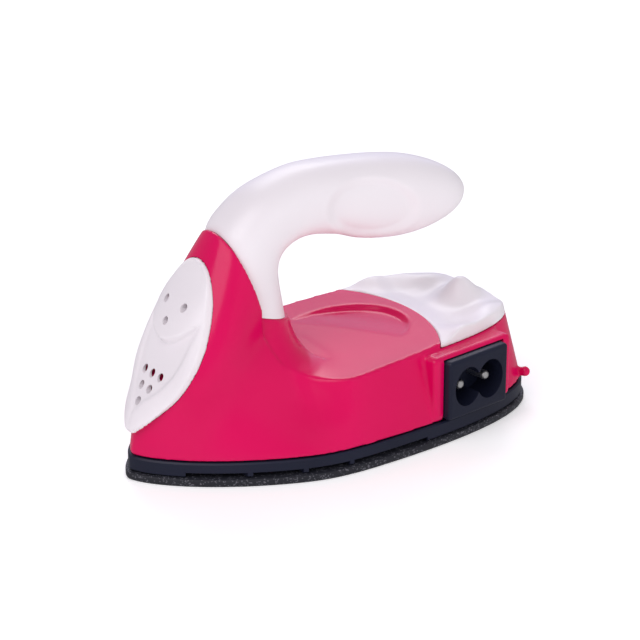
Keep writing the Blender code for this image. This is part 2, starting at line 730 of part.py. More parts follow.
def make_sole_plate():
    plate = loft("sole_plate", [outline_ring(0, 0), outline_ring(0, SOLE_THICKNESS)], coat)
    soften(plate, SOLE_EDGE_BEVEL, 2)
    root = SOLE_THICKNESS / 2
    pad_size = (HEATER_LENGTH + HEATER_MARGIN, HEATER_WIDTH + HEATER_MARGIN, PAD_TOP - root)
    join(plate, block("heater pad", pad_size, at(station(HEATER_STATION), 0, (PAD_TOP + root) / 2)))
    for i, (distance, y) in enumerate(SOLE_SCREW_PLACES):
        top = SKIRT_TOP - SKIRT_FLOOR - GAP
        join(plate, post("sole post %d" % i, POST_RADIUS, root, top, station(distance), y))
        screw_hole(plate, at(station(distance), y, SKIRT_TOP + GAP), SOLE_SCREW_LENGTH + GAP)
    for side in (-1, 1):
        x = station(HEATER_STATION) + side * CLAMP_SCREW_REACH
        join(plate, post("clamp post %d" % side, POST_RADIUS, root, CLAMP_LOW - GAP, x, 0))
        screw_hole(plate, at(x, 0, CLAMP_LOW + CLAMP_THICKNESS + GAP), CLAMP_SCREW_LENGTH + GAP)
    ear_y = THERMOSTAT_SIDE + THERMOSTAT_EAR_REACH
    for name, x, y, thickness in (("thermostat post", station(THERMOSTAT_STATION), ear_y, EAR_THICKNESS),
                                  ("strap post", station(FUSE_STATION), STRAP_SCREW_SIDE, STRAP_THICKNESS)):
        join(plate, post(name, POST_RADIUS, root, LOW_POST_TOP, x, y))
        screw_hole(plate, at(x, y, EAR_LOW + thickness + GAP), LOW_SCREW_LENGTH + GAP)
    return plate


def make_heater():
    x = station(HEATER_STATION)
    heater = block("heater_block", (HEATER_LENGTH, HEATER_WIDTH, HEATER_THICKNESS),
                   at(x, 0, HEATER_LOW + HEATER_THICKNESS / 2), ceramic)
    for side in (-1, 1):
        tab_x = x + HEATER_LENGTH / 2
        tab = block("heater tab %d" % side, (2 * TAB_LENGTH, TAB_WIDTH, TAB_THICKNESS),
                    at(tab_x, side * HEATER_TAB_SIDE, HEATER_LOW + HEATER_THICKNESS / 2))
        join(heater, tab)
    block("heater_insulating_sheet", (HEATER_LENGTH, HEATER_WIDTH, SHEET_THICKNESS),
          at(x, 0, SHEET_LOW + SHEET_THICKNESS / 2), mica)
    clamp = block("heater_clamp", (2 * (CLAMP_SCREW_REACH + POST_RADIUS), CLAMP_WIDTH, CLAMP_THICKNESS),
                  at(x, 0, CLAMP_LOW + CLAMP_THICKNESS / 2), steel)
    for side, name in ((-1, "front"), (1, "rear")):
        seat = at(x + side * CLAMP_SCREW_REACH, 0, CLAMP_LOW + CLAMP_THICKNESS + GAP)
        screw_hole(clamp, seat, 2 * CLAMP_THICKNESS)
        screw("heater_clamp_screw_" + name, CLAMP_SCREW_LENGTH, seat)


def make_thermostat():
    x = station(THERMOSTAT_STATION)
    low = SOLE_THICKNESS + GAP
    profile = [(THERMOSTAT_RADIUS, low), (THERMOSTAT_RADIUS, low + THERMOSTAT_HEIGHT)]
    thermostat = turned("thermostat", profile, at(x, THERMOSTAT_SIDE, 0), bright, 24)
    ear_size = (EAR_WIDTH, THERMOSTAT_EAR_REACH + EAR_WIDTH / 2, EAR_THICKNESS)
    ear_y = THERMOSTAT_SIDE + ear_size[1] / 2
    join(thermostat, block("thermostat ear", ear_size, at(x, ear_y, EAR_LOW + EAR_THICKNESS / 2)))
    for side in (-1, 1):
        tab_z = low + THERMOSTAT_HEIGHT + TAB_LENGTH / 4
        tab = block("thermostat tab %d" % side, (TAB_THICKNESS, TAB_WIDTH, TAB_LENGTH),
                    at(x + side * THERMOSTAT_RADIUS / 2, THERMOSTAT_SIDE, tab_z))
        join(thermostat, tab)
    seat = at(x, THERMOSTAT_SIDE + THERMOSTAT_EAR_REACH, EAR_LOW + EAR_THICKNESS + GAP)
    screw_hole(thermostat, seat, 2 * EAR_THICKNESS)
    screw("thermostat_screw", LOW_SCREW_LENGTH, seat)


def make_fuse():
    x = station(FUSE_STATION)
    along = lying(x, FUSE_SIDE, FUSE_Z, (1, 0, 0))
    turned("thermal_fuse", [(FUSE_RADIUS, -FUSE_LENGTH / 2), (FUSE_RADIUS, FUSE_LENGTH / 2)], along, bright)
    half = FUSE_SLEEVE_LENGTH / 2
    tube = turned("fuse_sleeve", [(SLEEVE_RADIUS, -half), (SLEEVE_RADIUS, half)], along, sleeving)
    bore(tube, FUSE_RADIUS + GAP, -half - OVERRUN, half + OVERRUN, along)
    inner = SLEEVE_RADIUS + GAP
    outer = inner + STRAP_THICKNESS
    steps = 10
    arcs = {}
    for key, radius in (("inner", inner), ("outer", outer)):
        turns = [math.pi * i / steps for i in range(steps + 1)]
        arcs[key] = [Vector((0, radius * math.cos(turn), radius * math.sin(turn))) for turn in turns]
    sole = SOLE_THICKNESS + GAP - FUSE_Z
    foot_low = EAR_LOW - FUSE_Z
    foot_end = -outer - STRAP_FOOT
    points = [Vector((0, inner, sole)), Vector((0, outer, sole))] + arcs["outer"]
    foot_high = foot_low + STRAP_THICKNESS
    points += [Vector((0, -outer, foot_high)), Vector((0, foot_end, foot_high)),
               Vector((0, foot_end, foot_low)), Vector((0, -inner, foot_low))]
    points += arcs["inner"][::-1]
    side = Vector((STRAP_WIDTH / 2, 0, 0))
    strap = extruded("fuse_strap", points, -side, side, steel)
    strap.matrix_world = at(x, FUSE_SIDE, FUSE_Z)
    seat = at(x, STRAP_SCREW_SIDE, EAR_LOW + STRAP_THICKNESS + GAP)
    screw_hole(strap, seat, 2 * STRAP_THICKNESS)
    screw("fuse_strap_screw", LOW_SCREW_LENGTH, seat)


def make_skirt():
    rings = [outline_ring(SKIRT_INSET, SKIRT_LOW), outline_ring(SKIRT_INSET, SKIRT_TOP)]
    skirt = loft("skirt", rings, black)
    hollow = outline_ring(SKIRT_INSET + SKIRT_WALL, SKIRT_LOW - OVERRUN)
    ceiling = outline_ring(SKIRT_INSET + SKIRT_WALL, SKIRT_TOP - SKIRT_FLOOR)
    cut(skirt, loft("skirt hollow", [hollow, ceiling]))
    front = station(WINDOW_FRONT_STATION)
    rear = station(WINDOW_REAR_STATION)
    xs = ring_stations(front, rear)
    widest = SOLE_HALF_WIDTH - SKIRT_WINDOW_INSET
    widths = [widest * plan_share((x - front) / (rear - front)) for x in xs]
    widths[0] = widths[-1] = 0
    window = [closed_ring(xs, widths, z) for z in (SKIRT_LOW - OVERRUN, SKIRT_TOP + OVERRUN)]
    cut(skirt, loft("skirt window", window))
    for low_share, high_share in SLOT_STATION_SHARES:
        low = station(low_share * SOLE_LENGTH)
        high = station(high_share * SOLE_LENGTH)
        size = (high - low, 2 * (SOLE_HALF_WIDTH + OVERRUN), 2 * SLOT_HEIGHT)
        cut(skirt, block("skirt slot", size, at((low + high) / 2, 0, SKIRT_LOW)))
    for distance, y in SOLE_SCREW_PLACES:
        screw_hole(skirt, at(station(distance), y, SKIRT_TOP + GAP), 2 * SKIRT_FLOOR)
    middle = SKIRT_TOP - SKIRT_FLOOR / 2
    for side in (-1, 1):
        y = side * BODY_SCREW_SIDE
        x = station(BODY_SCREW_STATION)
        join(skirt, post("skirt post %d" % side, BODY_POST_RADIUS, middle, SKIRT_POST_TOP, x, y))
        screw_hole(skirt, at(x, y, BODY_SCREW_SEAT + GAP), BODY_SCREW_LENGTH + GAP)
    for x, y in shield_places():
        join(skirt, post("shield post", SHIELD_POST_RADIUS, middle, SHIELD_HEIGHT - GAP, x, y))
        screw_hole(skirt, at(x, y, SHIELD_HEIGHT + SHIELD_THICKNESS + GAP), SHIELD_SCREW_LENGTH + GAP)
    for i, (distance, y) in enumerate(SOLE_SCREW_PLACES):
        name = "sole_screw_" + ("front", "left", "right")[i]
        screw(name, SOLE_SCREW_LENGTH, at(station(distance), y, SKIRT_TOP + GAP))
    return skirt


def shield_places():
    """Plan places of the posts that carry the heat shield."""
    places = []
    for distance in SHIELD_POST_STATIONS:
        y = half_width_at(station(distance), 0) - SHIELD_POST_INSET
        places += [(station(distance), -y), (station(distance), y)]
    return places


def make_shield():
    low = SHIELD_HEIGHT
    high = SHIELD_HEIGHT + SHIELD_THICKNESS
    shield = loft("heat_shield", [outline_ring(SHIELD_INSET, low), outline_ring(SHIELD_INSET, high)], steel)
    length = SHIELD_REAR_STATION - SHIELD_FRONT_STATION
    middle = station((SHIELD_REAR_STATION + SHIELD_FRONT_STATION) / 2)
    keep_common(shield, block("shield length", (length, 2 * SOLE_HALF_WIDTH, 2 * SHIELD_HEIGHT),
                              at(middle, 0, SHIELD_HEIGHT)))
    for i, (x, y) in enumerate(shield_places()):
        seat = at(x, y, high + GAP)
        screw_hole(shield, seat, 2 * GAP + 2 * SHIELD_THICKNESS)
        screw("shield_screw_%d" % (i + 1), SHIELD_SCREW_LENGTH, seat)


def level_heights(low, high, count):
    return [low + (high - low) * i / count for i in range(count + 1)]


def crown_ring(ring, share, height):
    """A ring drawn in about the middle of the horn's top and lifted to a height."""
    middle = Vector((station(CROWN_STATION), 0, 0))
    made = []
    for point in ring:
        near = middle + (point - middle) * share
        made.append(Vector((near.x, near.y, height)))
    return made


def body_form(name, wall, low, surface=None):
    """The outer form of body and horn, drawn in by a wall."""
    rings = [body_section(z, wall) for z in level_heights(low, HORN_TOP_HEIGHT, BODY_RINGS)]
    crown = rings[-1]
    for share, lift in CROWN_SHARES:
        rings.append(crown_ring(crown, share, HORN_TOP_HEIGHT + lift * HORN_CROWN_HEIGHT))
    return loft(name, rings, surface)


def body_cavity():
    """The hollow under the deck and up the horn, a wall away from the outside."""
    low = BODY_LOW - OVERRUN
    rings = [body_section(BODY_LOW, BODY_WALL)]
    rings[0] = [Vector((p.x, p.y, low)) for p in rings[0]]
    high = HORN_TOP_HEIGHT - 2 * BODY_WALL
    rings += [body_section(z, BODY_WALL) for z in level_heights(BODY_LOW, high, BODY_RINGS)]
    cavity = loft("body cavity", rings)
    cut(cavity, deck_clearance("space above roof", BODY_WALL, ROOF_WALL))
    pocket_roof = tray_zone("pocket roof", -ROOF_WALL)
    pocket_roof.matrix_world = at(0, 0, POCKET_FLOOR - BODY_WALL)
    cut(cavity, pocket_roof)
    cut(cavity, wedge("collar floor", -ROOT_SEAT_WALL))
    return cavity


def leaf_half_width(share):
    """Half-width of the front plate at this share of its height."""
    if share <= PLATE_WIDEST_SHARE:
        below = 1 - share / PLATE_WIDEST_SHARE
        return PLATE_HALF_WIDTH * max(1 - below ** PLATE_LOW_POWER, 0) ** PLATE_LOW_ROUND_POWER
    above = (share - PLATE_WIDEST_SHARE) / (1 - PLATE_WIDEST_SHARE)
    return PLATE_HALF_WIDTH * math.sqrt(max(1 - above * above, 0))


def leaf(name, inset, low=PLATE_LOW, high=PLATE_HIGH, width_share=1):
    """A bar along X with the plate's leaf outline, drawn in by an inset."""
    steps = 18
    near = []
    for i in range(steps + 1):
        share = (1 - math.cos(math.pi * i / steps)) / 2
        z = low + inset + (high - low - 2 * inset) * share
        width = max(leaf_half_width(share) * width_share - inset, 0) if 0 < i < steps else 0
        near.append(Vector((0, -width, z)))
    far = [Vector((0, -p.y, p.z)) for p in near[1:-1]]
    front = Vector((NOSE_X - OVERRUN, 0, 0))
    back = Vector((front_x(PLATE_HIGH) + 2 * PLATE_THICKNESS, 0, 0))
    return extruded(name, near + far[::-1], front, back)


def face_form(name, wall):
    """The horn's front surface, offset outward by a negative wall."""
    heights = level_heights(PLATE_LOW - OVERRUN, PLATE_HIGH + OVERRUN / 2, FACE_RINGS)
    rings = [body_section(z, wall) for z in heights]
    return loft(name, rings)


def make_front_plate():
    plate = face_form("front_plate", PLATE_RECESS - PLATE_THICKNESS)
    plate.data.materials.append(white)
    keep_common(plate, leaf("plate leaf", 0))
    cut(plate, face_form("plate back", PLATE_RECESS - GAP))
    sunken = leaf("sunken panel", 0, PLATE_LOW + PLATE_BORDER, PANEL_HIGH, PANEL_WIDTH_SHARE)
    cut(sunken, face_form("panel floor", PLATE_RECESS - PLATE_THICKNESS + PANEL_DEPTH))
    cut(plate, sunken)
    for height, y in plate_holes():
        along = lying(NOSE_X - OVERRUN, y, height, (1, 0, 0))
        bore(plate, PLATE_HOLE / 2, 0, station(SPLIT_FOOT_STATION) - NOSE_X, along)
    return plate


def plate_holes():
    """Heights and sides of the holes: a triangle above, and rows of three, two and one below."""
    places = [(HOLE_TOP, -HOLE_PITCH), (HOLE_TOP, HOLE_PITCH), (HOLE_TOP - HOLE_PITCH, 0)]
    for row, count in enumerate((3, 2, 1)):
        for i in range(count):
            places.append((HOLE_ROW_TOP - row * HOLE_ROW_STEP, (i - (count - 1) / 2) * HOLE_PITCH))
    return places


def make_body():
    body = body_form("body_shell", 0, BODY_LOW, pink)
    recess = leaf("plate recess", -GAP)
    cut(recess, face_form("recess floor", PLATE_RECESS))
    cut(body, recess)
    cut(body, deck_clearance("space above deck", 0, 0))
    cut(body, wedge("handle place", 0))
    cut(body, finger_dish())
    cut(body, tray_step("tray step space", 0, 0))
    cut(body, tray_pocket("pocket space", 0))
    join(body, inlet_boss("inlet boss", 0))
    cut(body, body_cavity())
    for side in (-1, 1):
        x = station(BODY_SCREW_STATION)
        y = side * BODY_SCREW_SIDE
        roof = POCKET_FLOOR - BODY_WALL / 2
        join(body, post("body post %d" % side, BODY_POST_RADIUS, SKIRT_POST_TOP + GAP, roof, x, y))
        seat = at(x, y, BODY_SCREW_SEAT + GAP)
        screw_hole(body, seat, BODY_SCREW_LENGTH)
        bore(body, SCREW_HEAD_RADIUS + GAP, -GAP, SOLE_HALF_WIDTH, seat)
        clip_size = (CLIP_LENGTH + 2 * GAP, CLIP_WIDTH + 2 * GAP, 2 * CLIP_DEPTH)
        clip_x = station(CLIP_STATION)
        cut(body, block("clip slot %d" % side, clip_size, at(clip_x, side * CLIP_SIDE, POCKET_FLOOR)))
        foot_low = BODY_LOW + GAP
        foot = post("heel foot %d" % side, FOOT_RADIUS, foot_low, foot_low + FOOT_HEIGHT,
                    station(FOOT_STATION), side * FOOT_SIDE)
        join(body, foot)
    for seat, reach in ((root_seat(), OVERRUN), (face_seat(), face_seat_x() - NOSE_X)):
        screw_hole(body, seat, ROOT_SEAT_WALL + OVERRUN)
        bore(body, SCREW_HEAD_RADIUS + GAP, -GAP, reach, seat)
    cut(body, inlet_box("inlet opening", GAP, OVERRUN))
    for height, y in plate_holes():
        along = lying(NOSE_X - OVERRUN, y, height, (1, 0, 0))
        inside = front_x(height) + 2 * BODY_WALL * NOSE_INSET_RATIO - along.translation.x
        bore(body, PLATE_HOLE / 2 + GAP, 0, inside, along)
    return body


def seat_z(x):
    """Height of the collar's seat at x."""
    return SPLIT_FOOT_HEIGHT - SEAT_SLOPE_SHARE * (x - station(SPLIT_FOOT_STATION))


def split_x(z):
    """X of the horn's slanted rear edge at height z."""
    return station(SPLIT_FOOT_STATION) - SPLIT_RAKE_SHARE * (z - SPLIT_FOOT_HEIGHT)


def root_seat():
    """The screw under the collar, which points up into the handle's foot."""
    x = station(ROOT_STATION)
    return lying(x, 0, seat_z(x) - ROOT_SEAT_WALL - GAP, (0, 0, -1))


def face_seat_x():
    return split_x(FACE_SCREW_HEIGHT) - ROOT_SEAT_WALL - GAP


def face_seat():
    """The screw behind the front plate, which points back into the handle's leg."""
    return lying(face_seat_x(), 0, FACE_SCREW_HEIGHT, (-1, 0, 0))


def handle_form(name, wall, first, last):
    keys = HANDLE_SHARES[first:last]
    return loft(name, [handle_ring(row, wall) for row in spread(keys, 2)])


def make_handle():
    for side, name in ((-1, "handle_left"), (1, "handle_right")):
        half = handle_form(name, 0, 0, len(HANDLE_SHARES))
        half.data.materials.append(white)
        half.data.shade_smooth()
        half.data.set_sharp_from_angle(angle=math.radians(30))
        keep_common(half, wedge(name + " place", GAP))
        cut(half, handle_form(name + " hollow", HANDLE_WALL, 3, len(HANDLE_SHARES) - 1))
        for length_share, rise_share in HANDLE_BOLT_SHARES:
            place = handle_point(length_share, rise_share)
            along = lying(place.x, 0, place.z, (0, 1, 0))
            reach = HANDLE_WIDTH / 2 - HANDLE_WALL
            join(half, turned(name + " boss", [(BOSS_RADIUS, -reach), (BOSS_RADIUS, reach)], along))
        cut(half, thumb_recess(name, side))
        other = block(name + " other half", (2 * SOLE_LENGTH, SOLE_HALF_WIDTH, 2 * SOLE_LENGTH),
                      at(0, -side * (SOLE_HALF_WIDTH / 2 - GAP / 2), 0))
        cut(half, other)
        for length_share, rise_share in HANDLE_BOLT_SHARES:
            seat = handle_bolt_seat(length_share, rise_share)
            screw_hole(half, seat, HANDLE_SCREW_LENGTH + GAP)
            if side > 0:
                bore(half, SCREW_HEAD_RADIUS + GAP, -GAP, SOLE_HALF_WIDTH, seat)
        screw_hole(half, root_seat(), ROOT_SCREW_LENGTH + GAP)
        screw_hole(half, face_seat(), FACE_SCREW_LENGTH + GAP)
    for i, (length_share, rise_share) in enumerate(HANDLE_BOLT_SHARES):
        screw("handle_screw_%d" % (i + 1), HANDLE_SCREW_LENGTH, handle_bolt_seat(length_share, rise_share))
    screw("handle_root_screw", ROOT_SCREW_LENGTH, root_seat())
    screw("handle_face_screw", FACE_SCREW_LENGTH, face_seat())


def thumb_recess(name, side):
    """A flattened ball that dishes the handle's side."""
    built = bmesh.new()
    bmesh.ops.create_uvsphere(built, u_segments=24, v_segments=12, radius=1)
    ball = add_piece(name + " thumb space", built)
    place = at(station(THUMB_STATION), side * THUMB_OUT, THUMB_HEIGHT)
    tilt = Matrix.Rotation(THUMB_TILT, 4, "Y")
    size = Matrix.Diagonal((THUMB_LENGTH / 2, THUMB_DEPTH, THUMB_TALL / 2, 1))
    ball.matrix_world = place @ tilt @ size
    return ball


def handle_bolt_seat(length_share, rise_share):
    """A screw from the far side of the handle toward the near half."""
    place = handle_point(length_share, rise_share)
    return lying(place.x, HANDLE_BOLT_SEAT, place.z, (0, 1, 0))


def tray_surface(x, y):
    """Height of the tray's top: a dipped floor, a rim along the sides and three lobes at the heel."""
    back = x - station(TRAY_FRONT_STATION)
    floor = deck_z(x) + (TRAY_FLOOR - deck_z(x)) * smooth(back / TRAY_DIP_LENGTH)
    edge = half_width_at(x, BODY_INSET + BODY_DRAFT_SHARE * (TRAY_FLOOR - BODY_LOW))
    across = abs(y) / max(edge, TRAY_CELL)
    rim = TRAY_RIM * smooth((across - TRAY_RIM_START_SHARE) / (1 - TRAY_RIM_START_SHARE))
    rim = rim * smooth(back / TRAY_DIP_LENGTH)
    rise = smooth((x - station(TRAY_RISE_STATION)) / TRAY_RISE_LENGTH)
    centre = math.exp(-(y / TRAY_LOBE_SPREAD) ** 2)
    shoulder = math.exp(-((abs(y) - TRAY_LOBE_SIDE) / TRAY_LOBE_SPREAD) ** 2)
    lobes = TRAY_CENTRE_LOBE * centre + TRAY_SIDE_LOBE * shoulder
    return floor + rim * (1 - rise) + lobes * rise


def tray_block():
    """A block whose top is the tray's surface."""
    built = bmesh.new()
    first = station(TRAY_FRONT_STATION - TRAY_LOBE_SIDE)
    rows = math.ceil((HEEL_X - first) / TRAY_CELL)
    columns = math.ceil(SOLE_HALF_WIDTH / TRAY_CELL)
    grid = []
    for i in range(rows + 1):
        x = first + i * TRAY_CELL
        line = []
        for j in range(-columns, columns + 1):
            y = j * TRAY_CELL
            line.append(built.verts.new((x, y, tray_surface(x, y))))
        grid.append(line)
    for i in range(rows):
        for j in range(2 * columns):
            built.faces.new((grid[i][j], grid[i + 1][j], grid[i + 1][j + 1], grid[i][j + 1]))
    rim = [grid[i][0] for i in range(rows + 1)] + grid[rows][1:]
    rim += [grid[i][-1] for i in range(rows - 1, -1, -1)] + grid[0][-2:0:-1]
    low = [built.verts.new((v.co.x, v.co.y, 0)) for v in rim]
    for i in range(len(rim)):
        j = (i + 1) % len(rim)
        built.faces.new((rim[i], rim[j], low[j], low[i]))
    built.faces.new(low)
    return add_piece("tray block", built)


def make_tray():
    heights = level_heights(SKIRT_POST_TOP, TRAY_TOP, TRAY_RINGS)
    tray = loft("rear_tray", [body_section(z) for z in heights])
    tray.data.materials.append(white)
    tray.data.shade_smooth()
    tray.data.set_sharp_from_angle(angle=math.radians(30))
    keep_common(tray, tray_step("tray seat", GAP, -GAP))
    join(tray, tray_pocket("tray tub", GAP))
    keep_common(tray, tray_block())
    cut(tray, inlet_boss("boss notch", GAP))
    for side in (-1, 1):
        size = (CLIP_LENGTH, CLIP_WIDTH, CLIP_DEPTH)
        clip_z = POCKET_FLOOR + GAP - CLIP_DEPTH / 2 + CLIP_WIDTH / 2
        join(tray, block("tray clip %d" % side, size, at(station(CLIP_STATION), side * CLIP_SIDE, clip_z)))
    return tray


def inlet_matrix():
    """Frame of the inlet: its face in the XZ plane, +Y into the body."""
    middle = at(station(INLET_STATION), -INLET_FACE_OUT, INLET_LOW + INLET_HEIGHT / 2)
    return middle @ Matrix.Rotation(INLET_YAW, 4, "Z")


def inlet_axis(x):
    """Matrix whose +Z runs into the body from a point of the inlet's face."""
    return inlet_matrix() @ lying(x, 0, 0, (0, 1, 0))


def inlet_box(name, clearance, lead_in):
    """The space of the housing, longer outward and downward."""
    depth = INLET_DEPTH + lead_in + clearance
    tall = INLET_HEIGHT + clearance + lead_in
    size = (INLET_WIDTH + 2 * clearance, depth, tall)
    place = inlet_matrix() @ at(0, depth / 2 - lead_in, clearance + INLET_HEIGHT / 2 - tall / 2)
    return block(name, size, place)


def inlet_boss(name, clearance):
    """The pink frame round the housing."""
    low = BODY_LOW + GAP
    depth = INLET_DEPTH - BOSS_SETBACK
    size = Vector((INLET_WIDTH + 2 * BOSS_BORDER, depth, BOSS_TOP - low)) + Vector((2 * clearance,) * 3)
    z = (BOSS_TOP + low) / 2 - INLET_LOW - INLET_HEIGHT / 2
    place = inlet_matrix() @ at(0, BOSS_SETBACK + depth / 2, z)
    return block(name, size, place, None, BOSS_BEVEL)


def socket_space():
    """Cutter of the figure-8 socket."""
    waist = math.acos(SOCKET_LOBE_SIDE / SOCKET_LOBE_RADIUS)
    tall = SOCKET_LOBE_RADIUS * SOCKET_LOBE_STRETCH
    ring = []
    for side in (1, -1):
        for i in range(SOCKET_STEPS + 1):
            angle = (waist - math.pi) + 2 * (math.pi - waist) * i / SOCKET_STEPS
            x = side * (SOCKET_LOBE_SIDE + SOCKET_LOBE_RADIUS * math.cos(angle))
            ring.append(Vector((x, 0, side * tall * math.sin(angle))))
    space = extruded("socket space", ring, Vector((0, -OVERRUN, 0)), Vector((0, SOCKET_DEPTH, 0)))
    space.matrix_world = inlet_matrix()
    return space


def make_inlet():
    housing = block("inlet_housing", (INLET_WIDTH, INLET_DEPTH, INLET_HEIGHT),
                    inlet_matrix() @ at(0, INLET_DEPTH / 2, 0), black, INLET_CORNER)
    ear_depth = INLET_DEPTH - EAR_SETBACK
    ears = (INLET_WIDTH + 2 * EAR_REACH, ear_depth - 2 * GAP, INLET_HEIGHT / 3)
    join(housing, block("inlet ears", ears, inlet_matrix() @ at(0, EAR_SETBACK + ear_depth / 2, 0)))
    cut(housing, socket_space())
    for side, name in ((-1, "front"), (1, "rear")):
        axis = inlet_axis(side * PIN_SPACING / 2)
        radius = PIN_DIAMETER / 2
        end = INLET_DEPTH + PIN_TAIL
        bore(housing, radius + GAP, 0, INLET_DEPTH + OVERRUN, axis)
        profile = [(radius / 2, PIN_RECESS), (radius, PIN_RECESS + radius / 2), (radius, end)]
        turned("inlet_pin_" + name, profile, axis, bright)
        outer = radius + GAP + TERMINAL_WALL
        start = INLET_DEPTH + GAP
        terminal = turned("inlet_terminal_" + name, [(outer, start), (outer, start + TERMINAL_LENGTH)],
                          axis, bright)
        bore(terminal, radius + GAP, start - OVERRUN, end + GAP, axis)


def lead(name, points):
    """An insulated lead along a smooth curve through its route's points."""
    curve = bpy.data.curves.new(name, "CURVE")
    curve.dimensions = "3D"
    curve.bevel_depth = LEAD_RADIUS
    curve.bevel_resolution = 2
    curve.use_fill_caps = True
    rows = spread([(x * ALONG, y * ACROSS, z * MM) for x, y, z in points], 3)
    line = curve.splines.new("POLY")
    line.points.add(len(rows) - 1)
    for point, (x, y, z) in zip(line.points, rows):
        point.co = (station(x), y, z, 1)
    curve.materials.append(sleeving)
    bpy.context.collection.objects.link(bpy.data.objects.new(name, curve))


# Routes of the leads in drawn millimetres: distance behind the nose, side, height
TAB = (HEATER_STATION + HEATER_LENGTH / 2) / ALONG + 3.5
PIN = (INLET_LOW + INLET_HEIGHT / 2) / MM
LEAD_ROUTES = {
    "lead_live": [(76.9, -10.6, PIN), (76.5, -6, PIN + 0.2), (78, 0, PIN + 0.4), (79.1, 3.3, PIN - 0.8),
                  (79.1, 4.6, 10.9)],
    "lead_link": [(72.9, 4.6, 10.9), (72.4, 4.6, 12.2), (68.5, 5.2, 11.2),
                  (TAB + 0.4, 6, 8.2), (TAB, 6, 5.1)],
    "lead_heater": [(TAB, -6, 5.1), (TAB + 0.1, -6.1, 7.2), (TAB + 2, -6.4, 7.2),
                    (TAB + 4, -6.5, 5.4), (70.1, -6.5, 5)],
    "lead_neutral": [(80.9, -6.5, 5), (82.1, -6.5, 5.4), (82.9, -6.6, 8), (84.2, -7.2, PIN - 1.4),
                     (85.4, -9.4, PIN)],
}


def remove_everything():
    for thing in list(bpy.data.objects):
        bpy.data.objects.remove(thing)


def make_iron():
    make_sole_plate()
    make_heater()
    make_thermostat()
    make_fuse()
    make_skirt()
    make_shield()
    make_body()
    for side, name in ((-1, "left"), (1, "right")):
        seat = at(station(BODY_SCREW_STATION), side * BODY_SCREW_SIDE, BODY_SCREW_SEAT + GAP)
        screw("body_screw_" + name, BODY_SCREW_LENGTH, seat)
    make_front_plate()
    make_handle()
    make_tray()
    make_inlet()
    for name, points in LEAD_ROUTES.items():
        lead(name, points)


remove_everything()
make_iron()
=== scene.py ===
# %% [markdown]
# # A travel iron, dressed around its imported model
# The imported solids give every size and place. This file gives the visible pieces the smooth
# surfaces, soft edges and finishes of moulded plastic, coated metal and bright pins.

# %% Load the frame
import json
import math

import bmesh
import bpy
from mathutils import Matrix, Vector


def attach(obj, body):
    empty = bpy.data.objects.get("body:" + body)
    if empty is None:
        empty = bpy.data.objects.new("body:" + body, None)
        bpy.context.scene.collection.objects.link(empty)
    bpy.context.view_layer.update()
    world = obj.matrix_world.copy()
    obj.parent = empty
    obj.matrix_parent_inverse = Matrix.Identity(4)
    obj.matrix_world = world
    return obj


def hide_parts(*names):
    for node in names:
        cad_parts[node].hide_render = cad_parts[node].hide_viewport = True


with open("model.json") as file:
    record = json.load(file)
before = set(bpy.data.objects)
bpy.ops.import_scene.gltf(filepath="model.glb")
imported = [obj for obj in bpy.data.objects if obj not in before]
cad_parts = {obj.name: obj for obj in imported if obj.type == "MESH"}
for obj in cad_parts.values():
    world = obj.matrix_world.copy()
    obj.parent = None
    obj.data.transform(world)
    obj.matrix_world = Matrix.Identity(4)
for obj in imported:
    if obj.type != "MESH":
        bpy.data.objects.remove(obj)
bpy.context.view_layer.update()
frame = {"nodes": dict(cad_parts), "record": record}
MM = 0.001

# %% [markdown]
# The photograph was taken from the nose's side, a little above the deck, with a long lens.
# The angle, the distance and the lens were fitted to the outline of the sole and the handle.

# %% Camera
AIM = Vector((-3.3, -4.8, 30)) * MM
AZIMUTH = math.radians(-34.2)
ELEVATION = math.radians(22.4)
DISTANCE = 600 * MM
LENS = 141.4

scene = bpy.context.scene
back = Vector((math.sin(AZIMUTH) * math.cos(ELEVATION), -math.cos(AZIMUTH) * math.cos(ELEVATION),
               math.sin(ELEVATION)))
bpy.ops.object.camera_add(location=AIM + back * DISTANCE,
                          rotation=back.to_track_quat("Z", "Y").to_euler())
scene.camera = bpy.context.object
scene.camera.data.lens = LENS
scene.camera.data.sensor_width = 36
print("camera", DISTANCE, "m from the iron")

# %% [markdown]
# A white studio: an even, faintly lavender sky, a broad key light over the nose for the bands
# of shine, and a fill light that leaves no reflection. A light behind the heel mirrors in the
# deck and gives it its mauve sheen. The floor keeps out of the reflections in the gloss too.

# %% Floor, sky and lights
FLOOR_SIZE = 6
bpy.ops.mesh.primitive_plane_add(size=FLOOR_SIZE, location=(0, 0, 0))
floor = bpy.context.object
floor.name = "studio_floor"
floor.visible_glossy = False
scene.view_settings.view_transform = "Standard"

world = bpy.data.worlds.new("white studio")
scene.world = world
world.use_nodes = True
sky = world.node_tree.nodes["Background"]
sky.inputs["Color"].default_value = (0.97, 0.95, 1, 1)
sky.inputs["Strength"].default_value = 0.36


def add_softbox(name, place, size, power, colour=(1, 1, 1)):
    """A square light that faces the iron."""
    place = Vector(place)
    turn = (place - AIM).to_track_quat("Z", "Y").to_euler()
    bpy.ops.object.light_add(type="AREA", location=place, rotation=turn)
    lamp = bpy.context.object
    lamp.name = name
    lamp.data.size = size
    lamp.data.energy = power
    lamp.data.color = colour
    return lamp


add_softbox("key_light", (-0.62, -0.25, 0.72), 0.8, 4.5, (1, 0.95, 1))
fill = add_softbox("fill_light", (0.3, -0.8, 0.35), 0.7, 2.4)
fill.visible_glossy = False
add_softbox("rim_light", (0.35, 0.6, 0.7), 0.5, 2.2)
add_softbox("deck_light", (0.42, 0.62, 0.42), 0.8, 1.5, (0.62, 0.62, 1))
print("four softboxes round the iron")

